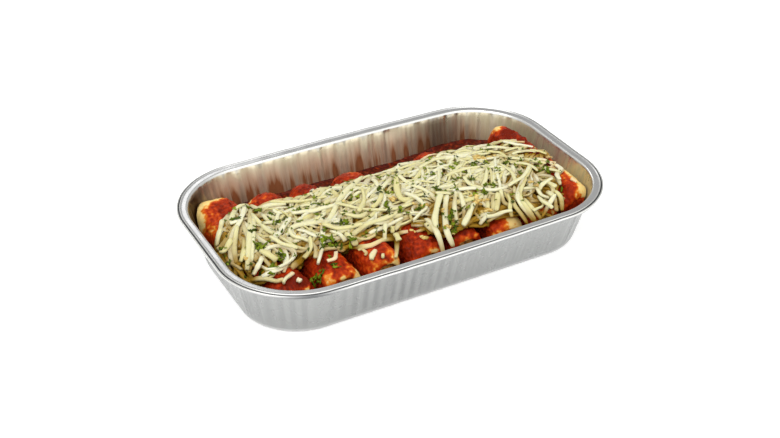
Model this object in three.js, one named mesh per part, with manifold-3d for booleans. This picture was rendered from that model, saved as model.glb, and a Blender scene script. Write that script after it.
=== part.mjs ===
// A foil tray of eight filled tortilla rolls, side by side in red sauce under a heap of grated cheese.
// Millimetres, +Z up. The tray stands on z = 0 with its long side along X, and the origin is the middle of its base.

import * as THREE from 'three';
import { mergeVertices } from 'three/addons/utils/BufferGeometryUtils.js';
import Module from 'manifold-3d';

// Tray: a sheet drawn into a rounded rectangle, with a flat base, a sloping pleated wall and a flat rim.
const TRAY_HEIGHT = 48;
const FOIL = 0.6;
const BASE_INSIDE = { halfX: 142.3, halfY: 76.3, corner: 45.5 };
const MOUTH = { halfX: 153, halfY: 87.9, corner: 53.7 };
const SIDE_BOW = 3;
const BASE_BEND = 3;
const PLEAT = { depth: 0.35, least: 0.4, step: 1.7 };
const WALL_RING_SHARES = [0.36, 0.72];
const STEPS = { corner: 8, longSide: 16, shortSide: 6 };

// Rim: a flat flange with a raised line near its edge, a groove, and a curl turned down all round.
const FLANGE_WIDTH = 7;
const FLANGE_DIP = 0.4;
const LINE_INSET = 0.7;
const GROOVE_DEPTH = 0.7;
const CURL_WIDTH = 1.8;
const CURL_DROP = 3.2;
const MOUTH_BEND = 1;

// Rolls: where the middle of each end lies in plan, its width, and the height of its top at each end.
const ROLL_FLOOR = 2.2;
const ROLLS = [
  { back: [-125, 75], front: [-114.5, -66], width: 38, topBack: 40, topFront: 37 },
  { back: [-85, 66], front: [-76.5, -67], width: 33, topBack: 38, topFront: 37 },
  { back: [-53, 62], front: [-41.5, -67], width: 30, topBack: 38, topFront: 39 },
  { back: [-12, 63], front: [-6.5, -69], width: 32, topBack: 39, topFront: 38 },
  { back: [24, 52], front: [28, -66], width: 32, topBack: 34, topFront: 37 },
  { back: [61.5, 60], front: [64.5, -69], width: 33, topBack: 39, topFront: 37 },
  { back: [96, 51], front: [99, -66], width: 31, topBack: 36, topFront: 37 },
  { back: [129, 56], front: [134, -63], width: 32, topBack: 48, topFront: 42.5 },
];
const ROLL_AROUND = 16;
const ROLL_SHARES = [0, 0.06, 0.36, 0.64, 0.94, 1];
const ROLL_SQUARENESS = 2.35;
const END_TAPER = 0.14;
const END_TAPER_LENGTH = 12;
const LAP_STEP = 0.05;
const LAP_START = 3;
const BORE_SCALE = 0.68;
const FILLING_SCALE = 0.6;
const FILLING_AROUND = 8;
const FILLING_RECESS = 3;
const WALL_CLEARANCE = 1.1;
const ROLL_CLEARANCE = 0.9;

// Sauce: a pool under, between and around the rolls.
const SAUCE_FLOOR = 1;
const SAUCE_LEVEL = 19;

// Cheese: a heap over the middle of the rolls that spills further towards the front at the right.
const HEAP_OUTLINE = [
  [-116, 40], [-60, 42], [0, 42], [60, 45], [100, 41], [130, 20], [140, -6], [134, -34], [119, -60],
  [82, -62], [40, -61], [6, -60], [-14, -44], [-60, -41], [-98, -40], [-126, -50], [-142, -34], [-146, -4], [-138, 20],
];
const HEAP_STEPS = 52;
const HEAP_SPINE = { from: -84, to: 88, y: -4 };
const HEAP_BOTTOM = 27;
const HEAP_EDGE = 36;
const HEAP_TOP = { left: 44.5, right: 50.5 };
const HEAP_RINGS = [0, 0.2, 0.48, 0.82];
const HEAP_FOOT = { x: 0.97, y: 0.94 };
const HEAP_LUMP = { height: 1.2, lengthX: 9, lengthY: 7, slant: 23, shift: 3 };

// How close two points are when they count as one.
const WELD = 1e-5;

const COLOURS = {
  foil: 0xc3c5c7, tortilla: 0xa8321c, filling: 0x8c7440, sauce: 0x7c1d12, cheese: 0xe6e2bd,
};

const wasm = await Module();
wasm.setup();

const lerp = THREE.MathUtils.lerp;

// Joins rings of equal length, in the order given, into a closed skin. Each ring runs anticlockwise about the
// direction of travel. The two ends are closed by fans, or joined to each other when the rings form a loop.
function skin(rings, isLoop = false) {
  const count = rings[0].length;
  const points = rings.flat();
  const triangles = [];
  const quads = isLoop ? rings.length : rings.length - 1;
  for (let i = 0; i < quads; i += 1) {
    const here = i * count;
    const next = ((i + 1) % rings.length) * count;
    for (let j = 0; j < count; j += 1) {
      const k = (j + 1) % count;
      triangles.push(here + j, here + k, next + k, here + j, next + k, next + j);
    }
  }
  if (!isLoop) {
    const start = points.length;
    points.push(middle(rings[0]), middle(rings.at(-1)));
    const last = (rings.length - 1) * count;
    for (let j = 0; j < count; j += 1) {
      const k = (j + 1) % count;
      triangles.push(start, k, j, start + 1, last + j, last + k);
    }
  }
  const geometry = new THREE.BufferGeometry().setFromPoints(points);
  geometry.setIndex(triangles);
  return geometry;
}

function middle(ring) {
  const sum = new THREE.Vector3();
  ring.forEach((point) => sum.add(point));
  return sum.divideScalar(ring.length);
}

// A closed geometry as a solid for cutting, and back again.
function toSolid(geometry) {
  const merged = mergeVertices(geometry, WELD);
  return new wasm.Manifold(new wasm.Mesh({
    numProp: 3,
    vertProperties: new Float32Array(merged.attributes.position.array),
    triVerts: new Uint32Array(merged.index.array),
  }));
}

function toGeometry(solid) {
  const mesh = solid.getMesh();
  const geometry = new THREE.BufferGeometry();
  geometry.setAttribute('position', new THREE.BufferAttribute(mesh.vertProperties, 3));
  geometry.setIndex(new THREE.BufferAttribute(mesh.triVerts, 1));
  return geometry;
}

function cut(geometry, cutters) {
  return toGeometry(cutters.reduce((rest, cutter) => rest.subtract(toSolid(cutter)), toSolid(geometry)));
}

// The inside outline of the tray's wall at a height, moved outwards by a distance.
function wallOutline(z, out = 0) {
  const lift = THREE.MathUtils.clamp(z / TRAY_HEIGHT, 0, 1);
  return {
    halfX: lerp(BASE_INSIDE.halfX, MOUTH.halfX, lift) + out,
    halfY: lerp(BASE_INSIDE.halfY, MOUTH.halfY, lift) + out,
    corner: lerp(BASE_INSIDE.corner, MOUTH.corner, lift) + out,
    bow: SIDE_BOW * lift,
  };
}

// Stations round a rounded rectangle: each is the angle of its outward normal, and its share of the way along a
// straight side, or none in a corner.
function outlineStations() {
  const stations = [];
  for (let quarter = 0; quarter < 4; quarter += 1) {
    const sides = quarter % 2 === 0 ? STEPS.longSide : STEPS.shortSide;
    for (let i = 0; i < STEPS.corner; i += 1) {
      stations.push({ quarter, angle: (quarter + i / STEPS.corner) * Math.PI / 2 });
    }
    for (let i = 0; i < sides; i += 1) {
      stations.push({ quarter, angle: (quarter + 1) * Math.PI / 2, share: i / sides });
    }
  }
  return stations;
}

const STATIONS = outlineStations();

function cornerCentre(outline, quarter) {
  const turn = quarter % 4;
  const signX = turn === 0 || turn === 3 ? 1 : -1;
  const signY = turn < 2 ? 1 : -1;
  return [signX * (outline.halfX - outline.corner), signY * (outline.halfY - outline.corner)];
}

// One ring of the tray at a height: the outline's points, pushed in and out along their normals by the pleats.
function trayRing(z, out, pleat = 0) {
  const outline = wallOutline(z, out);
  return STATIONS.map(({ quarter, angle, share }, index) => {
    let [x, y] = cornerCentre(outline, quarter);
    if (share !== undefined) {
      const [nextX, nextY] = cornerCentre(outline, quarter + 1);
      x = lerp(x, nextX, share);
      y = lerp(y, nextY, share);
    }
    const uneven = (index % 2 ? 1 : -1) * lerp(PLEAT.least, 1, 0.5 + 0.5 * Math.sin(index * PLEAT.step));
    const reach = outline.corner + pleat * uneven;
    x += reach * Math.cos(angle);
    y += reach * Math.sin(angle);
    const bow = outline.bow * Math.max(0, 1 - (x / outline.halfX) ** 2) * (y / outline.halfY);
    return new THREE.Vector3(x, y + bow, z);
  });
}

// The bend between base and wall as three rings, for the outside (growth FOIL) or the inside (growth 0).
function bendRings(growth, floor) {
  return [0, Math.PI / 4, Math.PI / 2].map((turn) => {
    const out = growth - BASE_BEND * (1 - Math.sin(turn));
    return trayRing(floor + BASE_BEND * (1 - Math.cos(turn)), out);
  });
}

function wallRings(growth) {
  return WALL_RING_SHARES.map((share) => trayRing(TRAY_HEIGHT * share, growth, PLEAT.depth));
}

// The rim from under the flange, round the curl and back over the top to the mouth, as [out, down] pairs.
function rimRings() {
  const curlOut = FLANGE_WIDTH + CURL_WIDTH;
  const profile = [
    [FOIL, FLANGE_DIP + FOIL + MOUTH_BEND],
    [FOIL + MOUTH_BEND, FLANGE_DIP + FOIL],
    [FLANGE_WIDTH - FOIL, FLANGE_DIP + FOIL],
    [FLANGE_WIDTH - FOIL / 2, CURL_DROP],
    [curlOut - FOIL, CURL_DROP],
    [curlOut, CURL_DROP / 2],
    [curlOut - FOIL, FLANGE_DIP / 2],
    [FLANGE_WIDTH + FOIL / 2, FLANGE_DIP / 2],
    [FLANGE_WIDTH, GROOVE_DEPTH],
    [FLANGE_WIDTH - LINE_INSET, 0],
    [FLANGE_WIDTH - 2 * LINE_INSET, FLANGE_DIP],
    [MOUTH_BEND, FLANGE_DIP],
    [0, FLANGE_DIP + MOUTH_BEND],
  ];
  return profile.map(([out, down]) => trayRing(TRAY_HEIGHT - down, out));
}

function tray() {
  return skin([
    ...bendRings(FOIL, 0),
    ...wallRings(FOIL),
    ...rimRings(),
    ...wallRings(0).reverse(),
    ...bendRings(0, FOIL).reverse(),
  ]);
}

// Moves a point in from the wall, so that a roll pressed against the tray takes the wall's shape.
function pressInside(point, clearance) {
  const outline = wallOutline(point.z, -clearance);
  const overX = Math.abs(point.x) - (outline.halfX - outline.corner);
  const overY = Math.abs(point.y) - (outline.halfY - outline.corner);
  const reach = Math.hypot(Math.max(overX, 0), Math.max(overY, 0));
  if (reach > outline.corner) {
    const pull = outline.corner / reach;
    point.x = Math.sign(point.x) * (Math.abs(point.x) - Math.max(overX, 0) * (1 - pull));
    point.y = Math.sign(point.y) * (Math.abs(point.y) - Math.max(overY, 0) * (1 - pull));
  }
  return point;
}

// A cross-section of a roll, at a share of the way from its back end to its front end. It is a squared circle that
// grows slowly round to the lap of the tortilla, drawn in towards both ends.
function rollRing(roll, share, { scale = 1, growth = 0, around = ROLL_AROUND, lap = LAP_STEP } = {}) {
  const axisX = roll.front[0] - roll.back[0];
  const axisY = roll.front[1] - roll.back[1];
  const length = rollLength(roll);
  const top = lerp(roll.topBack, roll.topFront, share);
  const fromEnd = THREE.MathUtils.clamp(Math.min(share, 1 - share) * length / END_TAPER_LENGTH, 0, 1);
  const size = scale * (1 - END_TAPER * (1 - fromEnd) ** 2);
  const halfWidth = roll.width / 2 * size + growth;
  const halfHeight = (top - ROLL_FLOOR) / 2 * size + growth;
  const ring = [];
  for (let i = 0; i < around; i += 1) {
    const angle = (i / around) * 2 * Math.PI;
    const power = 2 / ROLL_SQUARENESS;
    const wide = Math.sign(Math.cos(angle)) * Math.abs(Math.cos(angle)) ** power;
    const high = Math.sign(Math.sin(angle)) * Math.abs(Math.sin(angle)) ** power;
    const spiral = 1 - lap * (((i - LAP_START + around) % around) / around);
    const side = halfWidth * wide * spiral;
    const point = new THREE.Vector3(
      lerp(roll.back[0], roll.front[0], share) - side * axisY / length,
      lerp(roll.back[1], roll.front[1], share) + side * axisX / length,
      (top + ROLL_FLOOR) / 2 + halfHeight * high * spiral,
    );
    ring.push(pressInside(point, WALL_CLEARANCE - growth + (1 - scale) * roll.width / 4));
  }
  return ring;
}

function rollLength(roll) {
  return Math.hypot(roll.front[0] - roll.back[0], roll.front[1] - roll.back[1]);
}

// The sections at the filling's two ends and its middle.
function fillingShares(roll) {
  const inset = FILLING_RECESS / rollLength(roll);
  return [inset, 0.5, 1 - inset];
}

// The rolled tortilla: over the outside from back to front, and back through the bore.
function wrap(roll) {
  const outside = ROLL_SHARES.map((share) => rollRing(roll, share));
  const boreShares = [0, ...fillingShares(roll), 1].reverse();
  const bore = boreShares.map((share) => rollRing(roll, share, { scale: BORE_SCALE, lap: 0 }));
  return skin([...outside, ...bore], true);
}

// The filling runs the whole length of the roll, a little short of both ends.
function filling(roll) {
  const options = { scale: FILLING_SCALE, around: FILLING_AROUND, lap: 0 };
  return skin(fillingShares(roll).map((share) => rollRing(roll, share, options)));
}

// A plain solid that holds a whole roll with clearance all round, to cut the sauce and the cheese with.
function rollClearance(roll) {
  const over = ROLL_CLEARANCE / rollLength(roll);
  const options = { growth: ROLL_CLEARANCE, lap: 0 };
  const shares = [-over, ...ROLL_SHARES.slice(1, -1), 1 + over];
  return skin(shares.map((share) => rollRing(roll, share, options)));
}

function sauce() {
  const bottom = trayRing(SAUCE_FLOOR, -BASE_BEND);
  const bend = trayRing(BASE_BEND + FOIL, -2 * FOIL);
  const level = trayRing(SAUCE_LEVEL, -2 * FOIL);
  const coarse = [bottom, bend, level].map((ring) => ring.filter((point, index) => index % 2 === 0));
  return cut(skin(coarse), ROLLS.map(rollClearance));
}

function heapLump(x, y, share) {
  const { height, lengthX, lengthY, slant, shift } = HEAP_LUMP;
  return height * Math.sin(x / lengthX + share * shift) * Math.sin(y / lengthY + x / slant);
}

// The heap rises from its outline to a long flat crown in even steps of a quarter circle, with lumps all over.
function cheeseHeap() {
  const outline = new THREE.CatmullRomCurve3(
    HEAP_OUTLINE.map(([x, y]) => new THREE.Vector3(x, y, 0)),
    true,
    'centripetal',
  ).getPoints(HEAP_STEPS).slice(0, HEAP_STEPS).reverse();
  const rings = HEAP_RINGS.map((share) => outline.map((edge) => {
    const spineX = THREE.MathUtils.clamp(edge.x, HEAP_SPINE.from, HEAP_SPINE.to);
    const x = lerp(edge.x, spineX, share);
    const y = lerp(edge.y, HEAP_SPINE.y, share);
    const crown = lerp(HEAP_TOP.left, HEAP_TOP.right, x / MOUTH.halfX / 2 + 0.5);
    const rise = Math.sqrt(share * (2 - share));
    return new THREE.Vector3(x, y, lerp(HEAP_EDGE, crown, rise) + heapLump(x, y, share));
  }));
  const bottom = outline.map(({ x, y }) => new THREE.Vector3(x * HEAP_FOOT.x, y * HEAP_FOOT.y, HEAP_BOTTOM));
  return cut(skin([bottom, ...rings]), ROLLS.map(rollClearance));
}

function addPiece(group, name, geometry, colour, roughness, metalness = 0) {
  const material = new THREE.MeshStandardMaterial({ color: colour, roughness, metalness });
  const mesh = new THREE.Mesh(geometry, material);
  mesh.name = name;
  group.add(mesh);
}

const meal = new THREE.Group();
addPiece(meal, 'tray', tray(), COLOURS.foil, 0.35, 1);
addPiece(meal, 'sauce', sauce(), COLOURS.sauce, 0.4);
ROLLS.forEach((roll, index) => {
  addPiece(meal, `tortilla_${index + 1}`, wrap(roll), COLOURS.tortilla, 0.5);
  addPiece(meal, `filling_${index + 1}`, filling(roll), COLOURS.filling, 0.8);
});
addPiece(meal, 'cheese_heap', cheeseHeap(), COLOURS.cheese, 0.6);

export default meal;
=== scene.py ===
"""A family tray meal: a drawn foil tray with eight sauced tortilla rolls, a sauce pool, grated cheese
and herbs.

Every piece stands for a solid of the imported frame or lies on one. Shapes are worked out in millimetres,
+Z up, with the origin in the middle of the tray's base, and go into the meshes in metres.
"""

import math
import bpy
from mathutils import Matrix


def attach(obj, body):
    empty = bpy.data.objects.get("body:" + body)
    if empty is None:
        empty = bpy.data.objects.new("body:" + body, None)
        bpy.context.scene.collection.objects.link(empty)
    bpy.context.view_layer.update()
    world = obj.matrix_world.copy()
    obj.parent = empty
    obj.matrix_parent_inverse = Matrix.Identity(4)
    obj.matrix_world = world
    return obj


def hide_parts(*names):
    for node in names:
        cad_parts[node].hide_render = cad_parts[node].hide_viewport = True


bl_info = {
    "name": "Foil tray meal",
    "version": (1, 0, 0),
    "blender": (4, 5, 0),
    "location": "View3D > Sidebar > Tray meal",
    "description": "Finishes a packed tray meal: foil, sauced rolls, sauce, grated cheese and herbs",
    "category": "Object",
}

from typing import NamedTuple

import bpy
import numpy as np
from bpy.props import FloatProperty, FloatVectorProperty, IntProperty, PointerProperty
from mathutils import Vector
from mathutils.bvhtree import BVHTree

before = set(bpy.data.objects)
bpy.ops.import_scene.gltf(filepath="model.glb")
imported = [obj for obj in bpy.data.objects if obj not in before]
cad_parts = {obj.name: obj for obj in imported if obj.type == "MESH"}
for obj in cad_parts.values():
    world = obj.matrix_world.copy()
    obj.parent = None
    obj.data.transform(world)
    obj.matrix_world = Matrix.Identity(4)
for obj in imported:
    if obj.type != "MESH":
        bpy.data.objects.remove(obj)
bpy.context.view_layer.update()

MM = 0.001
BODY = "root"
TINY = 1e-6

# Tray: the inside of a rounded rectangle that widens from its base to its mouth, with bowed long sides.
TRAY_HEIGHT = 48
FOIL = 0.6
BASE_HALF = (142.3, 76.3)
BASE_CORNER = 45.5
MOUTH_HALF = (153, 87.9)
MOUTH_CORNER = 53.7
SIDE_BOW = 3
BASE_BEND = 3
WALL_TOP = 47.8
CORNER_SIGNS = np.array([[1, 1], [-1, 1], [-1, -1], [1, -1]])
TRAY_STATIONS = 1060

# The rim, measured out from the mouth and down from its highest line: how far the flange lies under the
# raised line, where that line and the groove beside the curl are, how deep the groove is, the rolled
# bead's middle and half size, and where the bead begins.
FLANGE_DROP = 0.55
LINE_OUT = 5.6
GROOVE_OUT = 6.8
GROOVE_DEPTH = 1.0
BEAD_MIDDLE = (7.8, 1.75)
BEAD_HALF = (0.97, 1.45)
BEAD_EDGE = 7.1

# Waves in the foil: their shortest and longest length, and how much they lean, in waves for each
# millimetre up.
CREASES = (3.5, 6, 1 / 400)
PLEATS = (7, 10, 1 / 400)
BROAD_WAVES = (9, 26, 1 / 120)
FLANGE_WAVES = (18, 60, 0)

# Between which distances round the outline the front wall and the back wall lie, with a little of the
# corners beside them, over what distance the back wall's waves die out there, and the height at which
# places along the walls are taken.
FRONT_WALL = (500, 740)
BACK_WALL = (60, 300)
BACK_WALL_FADE = 25
WALL_MIDDLE = 30.0

# Rolls: the height they lie at, how squared their section is, how much and over what length they draw
# in towards each end, the length of a pointed end, how far they stay from the tray's wall, and how
# large the bore and the filling are as shares of the section.
ROLL_FLOOR = 2.2
ROLL_POWER = 2.35
BACK_TAPER = (0.16, 13)
FRONT_TAPER = (0.12, 9)
POINT_LENGTH = 26
WALL_CLEARANCE = 1.1
BORE_SCALE = 0.72
FILLING_SCALE = 0.69

# A wrap's mesh: rows over its outside and points round it. Its relief: how far slow folds move it and
# their lengths along X, Y and Z, the shares and lengths of the coat's lumps, and how far inside the
# roll's full section it starts.
WRAP_ROWS = 150
WRAP_AROUND = 150
FOLD_DEPTH = 0.55
FOLD_LENGTHS = (22, 40, 22)
COAT_LUMPS = ((1, 6.5), (0.7, 3.2), (0.35, 1.9))
WRAP_INSET = 0.35

# The coat of sauce on the rolls: how thick it lies on the whole, from 0 for bare to 1 for thick, and
# how far in from the front edge it is thin, and by how much.
EVEN_COAT = 0.72
CUT_EDGE_REACH = 2.6
CUT_EDGE_BARE = 0.32

# Sauce: its underside, its level at places along the tray, and how high it climbs the wall and the
# rolls and over what distance from them.
SAUCE_FLOOR = 1.2
SAUCE_LEVEL_AT = (-150, -90, 0, 50, 112, 150)
SAUCE_LEVELS = (18.5, 18, 17.8, 18, 22.3, 22)
WALL_CLIMB = (1.6, 1.3)
ROLL_CLIMB = (1.8, 1.6)
SAUCE_STATIONS = 520

# Light: the direction in which the room is brightest, and each soft box's name, place and width in
# metres, and power in watts.
BRIGHT_SIDE = (-0.33, -0.87, 0.37)
SOFT_LIGHTS = (
    ("overhead light", (-0.35, -0.2, 1.6), 1.5, 12),
    ("back light", (0.2, 1.58, 1.04), 0.6, 1.9),
)

# Cheese: the heap's outline on the rolls, its spine (its two ends along the tray and its place across
# it), its bottom, its edge's height, and its crown's height at the tray's left and right ends.
HEAP_OUTLINE = np.array([
    [-116, 40], [-60, 42], [0, 42], [60, 45], [100, 41], [130, 20], [140, -6], [134, -34], [119, -60],
    [82, -62], [40, -61], [6, -60], [-14, -44], [-60, -41], [-98, -40], [-126, -50], [-142, -34],
    [-146, -4], [-138, 20],
])
HEAP_SPINE = (-84, 88, -4)
HEAP_BOTTOM = 27
HEAP_EDGE = 36
HEAP_CROWN = (43, 50.5)

# The share of the way in from the heap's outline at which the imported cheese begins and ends.
CORE_SHARES = (0.16, 0.97)

# Nothing loose rises over the ceiling: heights are squeezed over the last stretch under it.
CEILING = 49.5
SQUEEZED_OVER = 2.4

# The map of heights that strands are laid on: half its size in cells of 1 mm, and how far over the
# rolls and the sauce strands may always reach at places along the tray.
MAP_HALF = (162, 100)
ROOM_AT = (-105, -80, 78, 92, 110, 122)
ROOM_OVER_FOOD = (5.5, 2, 2, 5.5, 5.5, 1.5)

# The mounds of hanging strands in front of the heap: height, then middle and reach along X and along Y.
# They count where they are higher than a limit, and what the top strands rest on lies a little lower.
MOUNDS = ((6, 102, 16, -61, 9), (3, 28, 9, -60, 7))
LOWEST_MOUND = 1
MOUND_DROP = 1.5

# Over how many cells to each side the heap's soft hull is taken.
HULL_REACH = 3

# A strand's mesh: the samples of its line, of which every second one carries a section, the sides of
# the section, and how squared it is.
STRAND_SAMPLES = 31
STRAND_STEP = 2
STRAND_SIDES = 6
STRAND_POWER = 3

# How the strands vary: the spread of their lengths, how many are short shreds and how long those are,
# how many of the last ones are longer and by how much, the spread of their bends in radians, how many
# curl round and how far, and the spread of their slower waver.
LENGTH_SPREAD = 0.32
SHRED_SHARE = 1 / 16
SHRED_LENGTHS = (6, 16)
LONG_STRANDS = 330
LONGER = 1.5
BEND_SPREAD = 1.2
CURL_SHARE = 0.09
CURL = 3.4
WAVER_SPREAD = 0.8

# Their typical width, its spread and limits, the share of it that they have at places along the tray,
# and their thickness as a share of it.
STRAND_WIDTH = 4.2
WIDTH_SPREAD = 0.25
WIDTH_LIMITS = (2.2, 5.8)
WIDTH_AT = (-10, 40)
WIDTH_SHARES = (1.0, 0.84)
FLATNESS = (0.42, 0.62)

# Which way they lie, in degrees from +X, at places along the tray, how much that varies from strand to
# strand and, slowly, from place to place, in radians, and over what distance.
HEADING_AT = (-150, -115, -85, -50, 0, 30, 60, 90, 140)
HEADINGS = (60, 66, 40, 10, 5, 40, 62, 25, 0)
HEADING_SPREAD = 0.26
SWIRL = 0.45
SWIRL_LENGTH = 60

# How a strand is laid: how many places are drawn for it, and how many of them are tried, lowest first.
# Then the most that it may stick out of the heap's room at any point, and on average, for common and
# for long strands, with more than a limit counted as that limit. Last, the shares of its thickness by
# which its middle lies over what it rests on, and by which it raises the map.
PLACES_DRAWN = 60
PLACES_TRIED = 8
MOST_OVER = 5
COUNTED_OVER = 3
SPARE_ROOM = (0.6, 1.1)
STRAND_LIFT = 0.45
STRAND_PRESS = 0.3

# The height at which the tray's wall holds strands in, and the one at which it holds flakes in.
STRANDS_HELD_AT = 40.0
FLAKES_HELD_AT = 15.0

# The strands on top: the share of the widths below that they get, and their thickness as a share of
# their width.
TOP_WIDTH = 0.92
TOP_FLATNESS = 0.6

# How far over the rolls and the sauce their stain falls to a third, how deep under the heap's hull the
# painted shade begins, over what depth it grows, and its most.
STAIN_REACH = 3.6
SHADE_START = 1.5
SHADE_DEPTH = 3.4
SHADE_MOST = 0.97

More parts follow.
